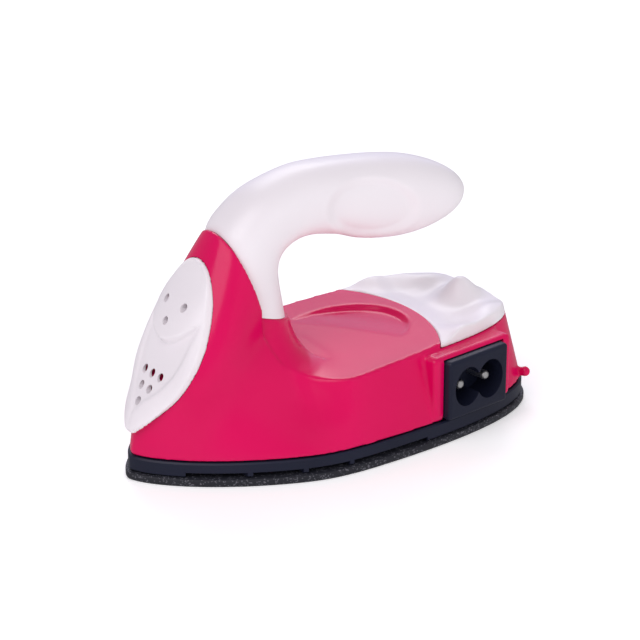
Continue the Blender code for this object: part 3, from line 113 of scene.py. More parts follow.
# %% [markdown]
# Shader maths reads best as plain expressions. `Wire` wraps a socket, so that a sum or a product
# of wires adds the Math nodes, and `Finish` is a material with a short way to add any other node.

# %% Wires and finishes
class Wire:
    """A socket that can be used in sums."""

    def __init__(self, finish, socket):
        self.finish = finish
        self.socket = socket

    def maths(self, operation, first, second):
        return self.finish.node("ShaderNodeMath", {"operation": operation}, {0: first, 1: second})

    def __add__(self, other):
        return self.maths("ADD", self, other)

    def __radd__(self, other):
        return self.maths("ADD", other, self)

    def __sub__(self, other):
        return self.maths("SUBTRACT", self, other)

    def __rsub__(self, other):
        return self.maths("SUBTRACT", other, self)

    def __mul__(self, other):
        return self.maths("MULTIPLY", self, other)

    def __rmul__(self, other):
        return self.maths("MULTIPLY", other, self)

    def __pow__(self, other):
        return self.maths("POWER", self, other)


class Finish:
    """A material with one shader and a short way to add nodes to it."""

    def __init__(self, name, shader_values=None):
        self.material = bpy.data.materials.new(name)
        self.material.use_nodes = True
        self.tree = self.material.node_tree
        self.shader = self.tree.nodes["Principled BSDF"]
        self.place = self.node("ShaderNodeTexCoord", output="Object")
        for key, value in (shader_values or {}).items():
            self.shader.inputs[key].default_value = value

    def node(self, kind, settings=None, inputs=None, output=0):
        made = self.tree.nodes.new(kind)
        for key, value in (settings or {}).items():
            setattr(made, key, value)
        for key, value in (inputs or {}).items():
            self.feed(made.inputs[key], value)
        return Wire(self, made.outputs[output])

    def feed(self, socket, value):
        if isinstance(value, Wire):
            self.tree.links.new(value.socket, socket)
        else:
            socket.default_value = value

    def noise(self, scale, detail=2.0):
        return self.node("ShaderNodeTexNoise", None,
                         {"Vector": self.place, "Scale": scale, "Detail": detail})

    def mix(self, share, first, second):
        return self.node("ShaderNodeMix", {"data_type": "RGBA"},
                         {0: share, 6: first, 7: second}, output=2)

    def steps(self, share, low, high):
        return self.node("ShaderNodeMapRange", {"clamp": True},
                         {"Value": share, "From Min": low, "From Max": high})

    def bump(self, height, strength, distance):
        normal = self.node("ShaderNodeBump", None,
                           {"Height": height, "Strength": strength, "Distance": distance})
        self.feed(self.shader.inputs["Normal"], normal)

    def colour(self, share, first, second):
        """The base colour drifts from one colour to another."""
        self.feed(self.shader.inputs["Base Color"], self.mix(share, first, second))

    def roughness(self, value):
        self.feed(self.shader.inputs["Roughness"], value)


def darker(colour, share):
    """A colour at this share of its light."""
    return tuple(share * part for part in colour[:3]) + (1,)


# %% [markdown]
# Gloss plastic is never quite even. A wide, faint noise drifts its colour, a finer one moves
# the roughness, and a very fine one gives the skin that a mould leaves.

# %% Plastics
DRIFT_SCALE = 35
PATCH_SCALE = 160
GRAIN_HEIGHT = 0.05 * MM


def moulded_plastic(name, colour, deep, roughness, spread, grain_scale, grain, shine=0.5):
    """A dyed plastic whose colour and gloss drift a little."""
    finish = Finish(name, {"IOR": 1.48, "Specular IOR Level": shine})
    finish.colour(finish.steps(finish.noise(DRIFT_SCALE), 0.3, 0.7), colour, deep)
    finish.roughness(roughness + spread * finish.noise(PATCH_SCALE, 3.0))
    finish.bump(finish.noise(grain_scale, 3.0), grain, GRAIN_HEIGHT)
    return finish.material


pink_gloss = moulded_plastic("pink_gloss_plastic", (0.71, 0.001, 0.10, 1), (0.65, 0, 0.085, 1),
                             0.16, 0.10, 900, 0.10, 0.32)
white_satin = moulded_plastic("white_satin_plastic", (0.87, 0.83, 0.855, 1), (0.84, 0.795, 0.825, 1),
                              0.26, 0.12, 1200, 0.12)
navy_black = moulded_plastic("navy_black_plastic", (0.012, 0.015, 0.034, 1), (0.009, 0.011, 0.026, 1),
                             0.34, 0.14, 1600, 0.25, 0.32)
for made in (pink_gloss, white_satin, navy_black):
    print("finish", made.name)

# %% [markdown]
# The sole is aluminium with a dark non-stick coat, whose pale specks are fine mineral grains.
# A cell pattern picks the grains: only cells whose random colour is near one end show.

# %% Coated sole, metals and the hidden parts
def coated_metal():
    finish = Finish("speckled_coat", {"IOR": 1.5})
    cells = finish.node("ShaderNodeTexVoronoi", {"feature": "F1"},
                        {"Vector": finish.place, "Scale": 3600}, output="Color")
    grain = finish.node("ShaderNodeSeparateColor", None, {0: cells})
    speck = finish.steps(grain, 0.86, 0.90)
    finish.colour(speck, (0.014, 0.015, 0.022, 1), (0.11, 0.11, 0.13, 1))
    finish.roughness(0.42 + 0.2 * finish.noise(700))
    finish.bump(finish.noise(2200, 3.0), 0.35, 0.06 * MM)
    return finish.material


def metal(name, colour, roughness, spread):
    finish = Finish(name, {"Metallic": 1})
    wear = finish.noise(1500, 4.0)
    finish.colour(wear, colour, darker(colour, 0.8))
    finish.roughness(roughness + spread * wear)
    return finish.material


def dull(name, colour, grain_scale):
    finish = Finish(name)
    drift = finish.noise(grain_scale, 4.0)
    finish.colour(drift, colour, darker(colour, 0.7))
    finish.roughness(0.6 + 0.2 * drift)
    finish.bump(drift, 0.3, GRAIN_HEIGHT)
    return finish.material


sole_coat = coated_metal()
bright_pin = metal("nickelled_brass", (0.95, 0.95, 0.93, 1), 0.30, 0.15)
plated_steel = metal("zinc_plated_steel", (0.60, 0.62, 0.64, 1), 0.25, 0.2)
ceramic = dull("white_ceramic", (0.78, 0.76, 0.70, 1), 800)
mica = dull("mica_sheet", (0.42, 0.33, 0.19, 1), 500)
sleeving = dull("glass_fibre_sleeve", (0.82, 0.81, 0.76, 1), 2500)

# %% [markdown]
# The casing follows two formulas: the outline of the sole in plan, and the raked line of the
# nose from the side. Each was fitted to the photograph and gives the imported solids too. Here
# they are read at many more places, so that the gloss shows no facets.

# %% Shared sizes
SOLE_LENGTH = 109 * MM
SOLE_HALF_WIDTH = 28 * MM
WIDEST_SHARE = 0.40
NOSE_POWER = 1.37
NOSE_ROUND_POWER = 0.68
HEEL_POWER = 2.3
HEEL_ROUND_POWER = 0.27
NOSE_INSET_RATIO = 1.27
ROUNDING_FRONT_SHARE = 0.31
ROUNDING_REAR_SHARE = 0.50
RING_MIDDLE = 38 * MM
NOSE_X = -SOLE_LENGTH / 2
HEEL_X = SOLE_LENGTH / 2
GAP = 0.3 * MM
SPARE = 4 * MM


def station(distance):
    """X of a point that lies this far behind the nose."""
    return NOSE_X + distance * MM


def clamped(share):
    return min(max(share, 0), 1)


def smooth(share):
    """An even step from 0 to 1 without corners."""
    share = clamped(share)
    return share * share * (3 - 2 * share)


def ramp(value, start, end):
    """An even step that is 0 at the start and 1 at the end; the end may lie below the start."""
    return smooth((value - start) / (end - start))


def hump(value, middle, spread):
    """A soft bump of height 1 about a middle."""
    return math.exp(-((value - middle) / spread) ** 2)


def spread(keys, steps):
    """Rows read from a smooth curve through the rows of a table."""
    rows = []
    for i in range(len(keys) - 1):
        before, after = keys[max(i - 1, 0)], keys[min(i + 2, len(keys) - 1)]
        for k in range(steps):
            t = k / steps
            rows.append([(2 * b + (c - a) * t + (2 * a - 5 * b + 4 * c - d) * t * t
                          + (3 * b - 3 * c + d - a) * t ** 3) / 2
                         for a, b, c, d in zip(before, keys[i], keys[i + 1], after)])
    return rows + [list(keys[-1])]


# %% [markdown]
# Ahead of its widest place and behind it the outline is a power curve of its own. A smooth
# bridge joins the two, so that no corner runs up the side of the casing.

# %% The outline in plan
def two_part_share(share):
    if share <= WIDEST_SHARE:
        return (1 - (1 - share / WIDEST_SHARE) ** NOSE_POWER) ** NOSE_ROUND_POWER
    behind = (share - WIDEST_SHARE) / (1 - WIDEST_SHARE)
    return max(1 - behind ** HEEL_POWER, 0) ** HEEL_ROUND_POWER


def plan_share(share):
    """Half-width of the outline as a share of the widest, at this share of the length."""
    length = ROUNDING_REAR_SHARE - ROUNDING_FRONT_SHARE
    t = (share - ROUNDING_FRONT_SHARE) / length
    if t <= 0 or t >= 1:
        return two_part_share(share)
    small = length / 100
    start = two_part_share(ROUNDING_FRONT_SHARE)
    end = two_part_share(ROUNDING_REAR_SHARE)
    start_slope = (start - two_part_share(ROUNDING_FRONT_SHARE - small)) * 100
    end_slope = (two_part_share(ROUNDING_REAR_SHARE + small) - end) * 100
    bridge = start_slope * t * (1 - t) ** 2 - end_slope * t * t * (1 - t)
    return start + (end - start) * smooth(t) + bridge


def ring_stations(front, rear, fore=60, aft=56):
    """Places along the length, closer together at both ends."""
    middle = station(0) + RING_MIDDLE
    turn = math.pi / 2
    ahead = [front + (middle - front) * (1 - math.cos(turn * i / fore)) for i in range(fore)]
    return ahead + [middle + (rear - middle) * math.sin(turn * i / aft) for i in range(aft + 1)]


def closed_ring(xs, widths, z):
    """A level ring that is the same on both sides and closes at the nose and the heel."""
    widths[0] = widths[-1] = 0
    near = [Vector((x, -w, z)) for x, w in zip(xs, widths)]
    return near + [Vector((p.x, -p.y, z)) for p in near[-2:0:-1]]


def outline_ring(inset, z):
    """The outline of the sole, drawn in by an inset."""
    front = NOSE_X + inset * NOSE_INSET_RATIO
    rear = HEEL_X - inset
    xs = ring_stations(front, rear)
    full = SOLE_HALF_WIDTH - inset
    return closed_ring(xs, [full * plan_share(clamped((x - front) / (rear - front))) for x in xs], z)


print("outline at the widest:", round(2 * SOLE_HALF_WIDTH / MM, 1), "mm")

# %% [markdown]
# By hand a closed form like this starts as a circle that is extruded from level to level and
# widened at each. The code joins ring to ring in one go, then works with the same modifiers.

# %% Helpers for making pieces
def pick(piece):
    """Select one object alone."""
    bpy.ops.object.select_all(action="DESELECT")
    piece.select_set(True)
    bpy.context.view_layer.objects.active = piece


def loft(name, rings, fanned=False):
    """A closed form through rings of as many points each; ends that aren't flat are fanned."""
    built = bmesh.new()
    rows = [[built.verts.new(point) for point in ring] for ring in rings]
    count = len(rings[0])
    for low, high in zip(rows, rows[1:]):
        for i in range(count):
            j = (i + 1) % count
            built.faces.new((low[i], low[j], high[j], high[i]))
    for row in (rows[0], rows[-1]):
        if fanned:
            for i in range(count - 2):
                built.faces.new((row[-1], row[i], row[i + 1]))
        else:
            built.faces.new(row)
    bmesh.ops.recalc_face_normals(built, faces=built.faces)
    mesh = bpy.data.meshes.new(name)
    built.to_mesh(mesh)
    built.free()
    piece = bpy.data.objects.new(name, mesh)
    bpy.context.collection.objects.link(piece)
    return piece


def settle(piece):
    """Move the place of an object into its mesh."""
    pick(piece)
    bpy.ops.object.transform_apply(location=True, rotation=True, scale=True)
    return piece


def placed(piece, place):
    piece.matrix_world = place
    return settle(piece)


def modify(piece, kind, **settings):
    """Add a modifier and apply it."""
    pick(piece)
    step = piece.modifiers.new(kind.lower(), kind)
    for key, value in settings.items():
        setattr(step, key, value)
    bpy.ops.object.modifier_apply(modifier=step.name)


def combine(piece, tool, operation="DIFFERENCE"):
    """Cut with, join or keep the common part with a tool, then throw the tool away."""
    modify(piece, "BOOLEAN", operation=operation, object=tool, solver="EXACT")
    bpy.data.objects.remove(tool)


def melt(piece, cell, passes):
    """Rebuild a piece of small even faces and soften its edges."""
    modify(piece, "REMESH", mode="VOXEL", voxel_size=cell)
    modify(piece, "SMOOTH", factor=0.5, iterations=passes)


def press(piece, depth_at):
    """Move each point inward by what a formula of its place and normal gives."""
    mesh = piece.data
    normals = [vertex.normal.copy() for vertex in mesh.vertices]
    for vertex, normal in zip(mesh.vertices, normals):
        depth = depth_at(vertex.co, normal)
        if depth:
            vertex.co -= normal * depth
    mesh.update()


def rod(name, radius, low, high, place, turns=32):
    """A round bar between two heights of a matrix."""
    bpy.ops.object.select_all(action="DESELECT")
    bpy.ops.mesh.primitive_cylinder_add(vertices=turns, radius=radius, depth=high - low,
                                        location=(0, 0, (high + low) / 2))
    bar = settle(bpy.context.object)
    bar.name = name
    return placed(bar, place)


def block(name, size, place, edge=0, steps=3):
    """A box about the origin of a matrix, with rounded edges if asked."""
    bpy.ops.object.select_all(action="DESELECT")
    bpy.ops.mesh.primitive_cube_add(size=1)
    box = bpy.context.object
    box.name = name
    box.scale = size
    settle(box)
    if edge:
        modify(box, "BEVEL", width=edge, segments=steps, limit_method="NONE")
    return placed(box, place)


def finish(piece, material, slot, *nodes):
    """Give a piece its look and its place in the model."""
    mesh = piece.data
    mesh.name = piece.name
    mesh.materials.clear()
    mesh.materials.append(material)
    pick(piece)
    bpy.ops.object.shade_smooth_by_angle(angle=math.radians(40))
    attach(piece, "root")
    if nodes:
        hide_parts(*nodes)
    mesh.calc_loop_triangles()
    print(piece.name, len(mesh.loop_triangles), "triangles")


def at(x, y, z):
    return Matrix.Translation((x, y, z))


def lying(x, y, z, axis):
    return at(x, y, z) @ Vector(axis).to_track_quat("Z", "Y").to_matrix().to_4x4()


# %% [markdown]
# The sole plate is a casting with a rounded edge. The skirt above it is a black ring with long
# cooling slots, and a shadow line parts the two.

# %% Sole plate and skirt
SOLE_THICKNESS = 2 * MM
SKIRT_INSET = 0.6 * MM
SKIRT_LOW = SOLE_THICKNESS + GAP
SKIRT_TOP = SKIRT_LOW + 3.5 * MM
SKIRT_WALL = 2.2 * MM
SKIRT_LOW_EDGE = 0.25 * MM
SKIRT_TOP_EDGE = 0.35 * MM
BODY_LOW = SKIRT_TOP + GAP
SOLE_EDGE = [(0.5, 0), (0.22, 0.1), (0, 0.5), (0, 1.5), (0.15, 1.85), (0.5, 2)]

sole = loft("sole_casting", [outline_ring(inset * MM, z * MM) for inset, z in SOLE_EDGE])
finish(sole, sole_coat, "coated_sole", "sole_plate")

skirt = loft("skirt_ring", [outline_ring(SKIRT_INSET + SKIRT_LOW_EDGE, SKIRT_LOW),
                            outline_ring(SKIRT_INSET, SKIRT_LOW + SKIRT_LOW_EDGE),
                            outline_ring(SKIRT_INSET, SKIRT_TOP - SKIRT_TOP_EDGE),
                            outline_ring(SKIRT_INSET + SKIRT_TOP_EDGE, SKIRT_TOP)])
hollow = loft("skirt_hollow", [outline_ring(SKIRT_INSET + SKIRT_WALL, SKIRT_LOW - SPARE),
                               outline_ring(SKIRT_INSET + SKIRT_WALL, SKIRT_TOP + SPARE)])
combine(skirt, hollow)
SLOT_SHARES = [(0.085, 0.195), (0.205, 0.305), (0.315, 0.410), (0.420, 0.620)]
SLOT_HEIGHT = 2.2 * MM
for low_share, high_share in SLOT_SHARES:
    length = (high_share - low_share) * SOLE_LENGTH
    middle = NOSE_X + (high_share + low_share) / 2 * SOLE_LENGTH
    combine(skirt, block("slot", (length, 3 * SOLE_HALF_WIDTH, SLOT_HEIGHT), at(middle, 0, SKIRT_LOW)))
finish(skirt, navy_black, "black_plastic", "skirt")

# %% [markdown]
# The body is one pink moulding: a low deck, and at the nose a horn that carries the handle.
# Level sections are stacked from the skirt to the top of the horn. Above the deck each section
# keeps only the horn, which narrows to the handle's width at the back.

# %% Sections of the body
BODY_INSET = 1 * MM
BODY_DRAFT = 0.23
BODY_WALL = 1.8 * MM
RAKE = 21.8 * MM
RAKE_POWER = 1.32
HORN_TOP = 55 * MM
CROWN_TOP = 58.6 * MM
HORN_BLEND = (6 * MM, 28 * MM)
NECK_BLEND = (23 * MM, 35 * MM)
HORN_BACK = (36, 49)
HORN_HALF_WIDTH = 13.6 * MM
HORN_TOP_HALF_WIDTH = 8.2 * MM
HORN_TAPER = 30 * MM
HORN_TAPER_POWER = 1.7
HORN_NOSE = 10 * MM
HORN_SQUARENESS = 2.3
HORN_CHEEK = 15 * MM
HANDLE_WIDTH = 19.4 * MM


def front_x(z):
    """The raked line of the nose."""
    rise = max(z - BODY_LOW, 0) / (HORN_TOP - BODY_LOW)
    return NOSE_X + BODY_INSET * NOSE_INSET_RATIO + RAKE * rise ** RAKE_POWER


def horn_width(x, z, front, wall):
    """Half-width of the horn: a round nose, two cheeks and the neck behind them."""
    rise = max(z - HORN_TAPER, 0) / (HORN_TOP - HORN_TAPER)
    full = HORN_HALF_WIDTH - (HORN_HALF_WIDTH - HORN_TOP_HALF_WIDTH) * rise ** HORN_TAPER_POWER - wall
    neck = full - (full - min(full, HANDLE_WIDTH / 2 - wall)) * ramp(z, *NECK_BLEND)
    ahead = min((x - front) / HORN_NOSE, 1)
    cheek = smooth((x - front - HORN_NOSE) / HORN_CHEEK)
    round_nose = max(1 - (1 - ahead) ** HORN_SQUARENESS, 0) ** (1 / HORN_SQUARENESS)
    return (full - (full - neck) * cheek) * round_nose


def body_section(z, wall=0):
    """A level section of the casing, drawn in by a wall."""
    draft = BODY_DRAFT * (z - BODY_LOW)
    front = front_x(z) + wall * NOSE_INSET_RATIO
    rear = HEEL_X - BODY_INSET - draft - wall
    full = SOLE_HALF_WIDTH - BODY_INSET - draft - wall
    xs = ring_stations(front, rear)
    rise = ramp(z, *HORN_BLEND)
    widths = []
    for x in xs:
        plain = full * plan_share(clamped((x - front) / (rear - front)))
        behind = ramp(x, station(HORN_BACK[0]), station(HORN_BACK[1]))
        widths.append(plain + (horn_width(x, z, front, wall) - plain) * rise * (1 - behind))
    return closed_ring(xs, widths, z)


def levels(low, high, count):
    return [low + (high - low) * i / count for i in range(count + 1)]


def body_form(name, wall, low, high=CROWN_TOP, count=56):
    """The whole casing as a solid, before anything is cut from it."""
    return loft(name, [body_section(z, wall) for z in levels(low, high, count)])


body = body_form("body_moulding", 0, BODY_LOW)
print("body sections:", len(body.data.vertices), "points")

# %% [markdown]
# The deck is what is left when all above it is cut away. The cut starts at the crease of the
# horn and flares up to the round collar, so its wall makes the soft skirt round the horn's foot.

# %% Cut the deck
COLLAR_STATION = 33.5
COLLAR_RADIUS = 10.6 * MM
DECK_HEIGHT = 21 * MM
DECK_SLOPE = math.radians(4.2)
FLARE_HEIGHT = 12.5 * MM
FLARE_REACH = 13.5 * MM
FLARE_POWER = 5.5
FLARE_SPREAD = 11 * MM
FLARE_CROWDING = 1.5
FLARE_WIDENING = 1.15
COLLAR_WIDTH_RATIO = 0.93
CREASE_SLOPE = 1.3
CREASE_START = 1.5 * MM


def deck_z(x):
    """Height of the deck, which rises a little to the heel."""
    return DECK_HEIGHT + (x - station(COLLAR_STATION)) * math.tan(DECK_SLOPE)


def deck_plane(distance, height):
    """A place on the deck, tilted as it is."""
    x = station(distance)
    return at(x, 0, deck_z(x) + height) @ Matrix.Rotation(-DECK_SLOPE, 4, "Y")


def deck_clearance(name, wall, drop, steps=22, turns=96):
    """The space above the deck and behind the crease, swept round the collar."""
    reach = SOLE_LENGTH
    collar = COLLAR_RADIUS - wall
    rows = [(0, reach), (0, FLARE_HEIGHT)]
    for i in range(1, steps + 1):
        share = (i / steps) ** FLARE_CROWDING
        rows.append((FLARE_REACH * share, FLARE_HEIGHT * (1 - share) ** FLARE_POWER))
    rows += [(reach, 0), (reach, reach)]
    rings = []
    for i in range(turns + 1):
        ring = []
        for out, height in rows:
            radius = collar + out
            crease = CREASE_SLOPE * out - CREASE_START
            angle = math.acos(crease / radius if out < reach else 0) * (2 * i / turns - 1)
            wide = FLARE_WIDENING * out * (1 + min(out, FLARE_REACH) / FLARE_SPREAD)
            side = (COLLAR_WIDTH_RATIO * collar + wide) * math.sin(angle)
            ring.append(Vector((radius * math.cos(angle), side, height)))
        rings.append(ring)
    return placed(loft(name, rings, fanned=True), deck_plane(COLLAR_STATION, -drop))


combine(body, deck_clearance("above_deck", 0, 0))

# %% [markdown]
# The handle stands on the horn behind a slanted edge, whose top is rounded and arches across
# the crown. A shallow oval dish in the deck leaves room for the knuckles, and the tray at the
# heel sits in a level step.

# %% Cut the handle's seat, the dish and the tray's step
SPLIT_FOOT = (31.6, 36.6 * MM)
SPLIT_RAKE = 0.33
SPLIT_TOP = 57.2 * MM
SPLIT_ROUND = 1.6 * MM
SPLIT_ARCH = 0.055 / MM
SPLIT_ARCH_END = 9.5 * MM
SPLIT_SIDE_STEP = 0.5 * MM
SPLIT_SIDE_STEPS = 20
SPLIT_NOSE_SLOPE = 0.5
SEAT_SLOPE = 0.32
SEAT_END = 52
DISH_STATION = 61
DISH_HALF_LENGTH = 17.3 * MM
DISH_HALF_WIDTH = 14.7 * MM
DISH_FRONT = 14.7 * MM
DISH_FRONT_POWER = 0.6
DISH_TURN = math.radians(25)
DISH_FALL_REACH = 0.85
DISH_DEPTH = 1.3 * MM
DISH_LIFT = 0.1 * MM
DISH_WALL = [(0, -3), (0, -0.2), (0.1, 0.1), (0.4, 0.5), (0.8, 0.88),
             (1.3, 1), (4, 1), (6.5, 1), (9, 1), (12, 1)]
DISH_STEPS = 120
TRAY_FRONT = 81.3
TRAY_RADIUS = 38 * MM
TRAY_SPREAD = math.radians(50)
TRAY_STEPS = 60
POCKET_INSET = 8.5 * MM
POCKET_SETBACK = 3 * MM
POCKET_FLOOR = 21.6 * MM
TRAY_SEAT = 22.8 * MM
SEAM = 0.06 * MM


def wedge_profile(y, clearance):
    """The seat of the handle from the side: a slope, a slanted edge and a rounded top."""
    foot = Vector((station(SPLIT_FOOT[0]) + clearance, y, SPLIT_FOOT[1] + clearance))
    reach = SOLE_LENGTH
    seat = station(SEAT_END) - foot.x
    seat_end = foot.z - SEAT_SLOPE * seat
    top_z = SPLIT_TOP + clearance - SPLIT_ARCH * min(abs(y), SPLIT_ARCH_END) ** 2
    top = Vector((foot.x - SPLIT_RAKE * (top_z - foot.z), y, top_z))
    nose = top + Vector((-reach, 0, -SPLIT_NOSE_SLOPE * reach))
    down, ahead = (foot - top).normalized(), (nose - top).normalized()
    start, end = top + ahead * SPLIT_ROUND, top + down * SPLIT_ROUND
    bend = [start.lerp(top, t).lerp(top.lerp(end, t), t) for t in levels(0, 1, 10)]
    return [foot, Vector((foot.x + seat, y, seat_end)), Vector((reach, y, seat_end)),
            Vector((reach, y, foot.z + reach)), Vector((nose.x, y, foot.z + reach)), nose] + bend


def wedge(name, clearance):
    """The seat's space, whose top edge arches across the horn."""
    sides = [i * SPLIT_SIDE_STEP for i in range(-SPLIT_SIDE_STEPS, SPLIT_SIDE_STEPS + 1)]
    return loft(name, [wedge_profile(y, clearance)
                       for y in [-SOLE_HALF_WIDTH] + sides + [SOLE_HALF_WIDTH]])


def dish_space():
    """An oval whose floor falls towards the heel, so that only its rear shows a wall."""
    rings = []
    for inset, share in DISH_WALL:
        scale = 1 - inset * MM / DISH_HALF_WIDTH
        ring = []
        for i in range(DISH_STEPS):
            turn = 2 * math.pi * i / DISH_STEPS
            along = math.cos(turn)
            if along > 0:
                along *= DISH_HALF_LENGTH
            else:
                along = -DISH_FRONT * (-along) ** DISH_FRONT_POWER
            fall = smooth(scale * math.cos(turn - DISH_TURN) / DISH_FALL_REACH) * share
            height = DISH_LIFT - DISH_DEPTH * fall if share > 0 else -share * DISH_DEPTH
            ring.append(Vector((scale * along, DISH_HALF_WIDTH * scale * math.sin(turn), height)))
        rings.append(ring)
    return placed(loft("dish", rings), deck_plane(DISH_STATION, 0))


def tray_zone(name, setback):
    """All that lies behind the arc at the front of the tray."""
    middle = station(TRAY_FRONT) - TRAY_RADIUS
    radius = TRAY_RADIUS + setback
    points = []
    for i in range(TRAY_STEPS + 1):
        angle = TRAY_SPREAD * (2 * i / TRAY_STEPS - 1)
        points.append(Vector((middle + radius * math.cos(angle), radius * math.sin(angle), 0)))
    far = HEEL_X + SOLE_HALF_WIDTH
    points += [Vector((far, points[-1].y, 0)), Vector((far, points[0].y, 0))]
    return loft(name, [points, [p + Vector((0, 0, SOLE_LENGTH)) for p in points]])


def tray_step(name, setback, drop):
    """The level step that the tray sits in."""
    return placed(tray_zone(name, setback), at(0, 0, TRAY_SEAT - drop))


def tray_pocket(name, clearance):
    """The pocket in the body that the tub of the tray goes into."""
    inset = POCKET_INSET + clearance
    low = POCKET_FLOOR + clearance
    pocket = loft(name, [outline_ring(inset, low), outline_ring(inset, low + SOLE_HALF_WIDTH)])
    combine(pocket, tray_zone("pocket_zone", POCKET_SETBACK + clearance), "INTERSECT")
    return pocket


combine(body, wedge("handle_place", 0))
combine(body, dish_space())
print("body after its cuts:", len(body.data.polygons), "faces")

# %% [markdown]
# The nose carries a white leaf-shaped plate in a shallow recess. The inlet has a raised frame
# on the side of the body, and two small ball feet on short stems stand out at the heel. The
# whole is then rebuilt of small even faces and softened, which rounds every moulded edge.

# %% Recess, inlet frame and heel feet
PLATE_LOW = 12.3 * MM
PLATE_HIGH = 50.8 * MM
PLATE_MIDDLE = 33 * MM
PLATE_OUTLINE = [
    (12.3, 0), (12.7, 1.2), (13.8, 2.6), (16, 4.9), (18.5, 7.1), (21, 8.9), (24, 10.3), (27, 11.1),
    (30, 11.4), (33, 11.3), (36, 10.8), (39, 10.1), (42, 9.1), (44.5, 7.9), (46.8, 6.5), (48.6, 5),
    (50, 3.2), (50.6, 1.6), (50.8, 0),
]
PLATE_THICKNESS = 1.5 * MM
PLATE_RECESS = 0.6 * MM
INLET_STATION = 82.6
INLET_WIDTH = 19.6 * MM
INLET_LOW = 6.4 * MM
INLET_HEIGHT = 15.2 * MM
INLET_OUT = 26.9 * MM
INLET_YAW = math.radians(7.5)
INLET_DEPTH = 10 * MM
BOSS_SETBACK = 2 * MM
BOSS_BORDER = 3.2 * MM
BOSS_TOP = 22.6 * MM
BOSS_EDGE = 1.2 * MM
STEM_RADIUS = 1 * MM
STEM_LENGTH = 3 * MM
STEM_FOOT = (103, 14.7)
STEM_AXIS = (0.55, 0.83)
BALL_RADIUS = 1.35 * MM
BALL_PLACE = (104.6, 17.1)
BALL_HEIGHT = 8 * MM
MELT_CELL = 0.42 * MM
MELT_PASSES = 6


def leaf(name, inset):
    """A bar along X with the plate's outline."""
    rows = spread(PLATE_OUTLINE, 6)
    middle = Vector((0, 0, PLATE_MIDDLE))
    near = [Vector((0, -y * MM, z * MM)) for z, y in rows]
    grown = [p + (p - middle).normalized() * -inset for p in near]
    outline = grown + [Vector((0, -p.y, p.z)) for p in grown[-2:0:-1]]
    front = Vector((NOSE_X - SPARE, 0, 0))
    back = Vector((front_x(PLATE_HIGH) + 2 * PLATE_THICKNESS, 0, 0))
    return loft(name, [[p + front for p in outline], [p + back for p in outline]])


def face_form(name, wall):
    """The part of the casing round the plate, read closely."""
    return body_form(name, wall, PLATE_LOW - SPARE, PLATE_HIGH + SPARE / 2, 40)


def inlet_place(x, y, z):
    """A place on the inlet: X along its face, Y into it."""
    middle = at(station(INLET_STATION), -INLET_OUT, INLET_LOW + INLET_HEIGHT / 2)
    return middle @ Matrix.Rotation(INLET_YAW, 4, "Z") @ at(x, y, z)


boss_low = BODY_LOW + GAP
boss_size = (INLET_WIDTH + 2 * BOSS_BORDER, INLET_DEPTH - BOSS_SETBACK, BOSS_TOP - boss_low)
boss_z = (BOSS_TOP + boss_low) / 2 - INLET_LOW - INLET_HEIGHT / 2
boss = block("boss", boss_size, inlet_place(0, BOSS_SETBACK + boss_size[1] / 2, boss_z), BOSS_EDGE)
combine(body, boss, "UNION")
for side in (-1, 1):
    stem = lying(station(STEM_FOOT[0]), side * STEM_FOOT[1] * MM, BALL_HEIGHT,
                 (STEM_AXIS[0], side * STEM_AXIS[1], 0))
    combine(body, rod("foot_stem", STEM_RADIUS, 0, STEM_LENGTH, stem), "UNION")
    ball = (station(BALL_PLACE[0]), side * BALL_PLACE[1] * MM, BALL_HEIGHT)
    bpy.ops.object.select_all(action="DESELECT")
    bpy.ops.mesh.primitive_uv_sphere_add(radius=BALL_RADIUS, location=ball)
    combine(body, settle(bpy.context.object), "UNION")
melt(body, MELT_CELL, MELT_PASSES)
print("body melted:", len(body.data.polygons), "faces")

# %% [markdown]
# The seats of the plate and the tray are cut after the softening, so that their edges stay as
# crisp as where two mouldings meet. The floor of the recess follows the casing's own surface.

# %% Cut the crisp seats of the plate and the tray
FIT = 0.1 * MM
STEP_MARGIN = 0.15 * MM
STEP_HIGH = 40 * MM
recess = leaf("plate_recess", -FIT)
combine(recess, face_form("recess_floor", PLATE_RECESS))
combine(body, recess)
step = tray_step("tray_step", 0, 0)
combine(step, body_form("inside", -STEP_MARGIN, BODY_LOW, STEP_HIGH, 40), "INTERSECT")
combine(body, step)
combine(body, tray_pocket("tray_pocket", 0))
print("body with its seats:", len(body.data.polygons), "faces")

# %% [markdown]
# The real body is a shell with walls of less than two millimetres. Its inside is made of the
# same sections, drawn in by the wall, and ends below the roof, the tray's pocket and the
# handle's seat. The vents are round bores that run back from ahead of the nose.

# %% Hollow the body, open the inlet and drill the vents
ROOF_THICKNESS = 2.8 * MM
COLLAR_THICKNESS = 3.2 * MM


def body_cavity():
    """The inside of the shell, below its roof, the tray's pocket and the handle's seat."""
    low_ring = [Vector((p.x, p.y, BODY_LOW - SPARE)) for p in body_section(BODY_LOW, BODY_WALL)]
    heights = levels(BODY_LOW, HORN_TOP - 2 * BODY_WALL, 30)
    cavity = loft("cavity", [low_ring] + [body_section(z, BODY_WALL) for z in heights])
    combine(cavity, deck_clearance("above_roof", BODY_WALL, ROOF_THICKNESS))
    roof = tray_zone("pocket_roof", -ROOF_THICKNESS)
    placed(roof, at(0, 0, POCKET_FLOOR - BODY_WALL))
    combine(cavity, roof)
    combine(cavity, wedge("collar_floor", -COLLAR_THICKNESS))
    return cavity


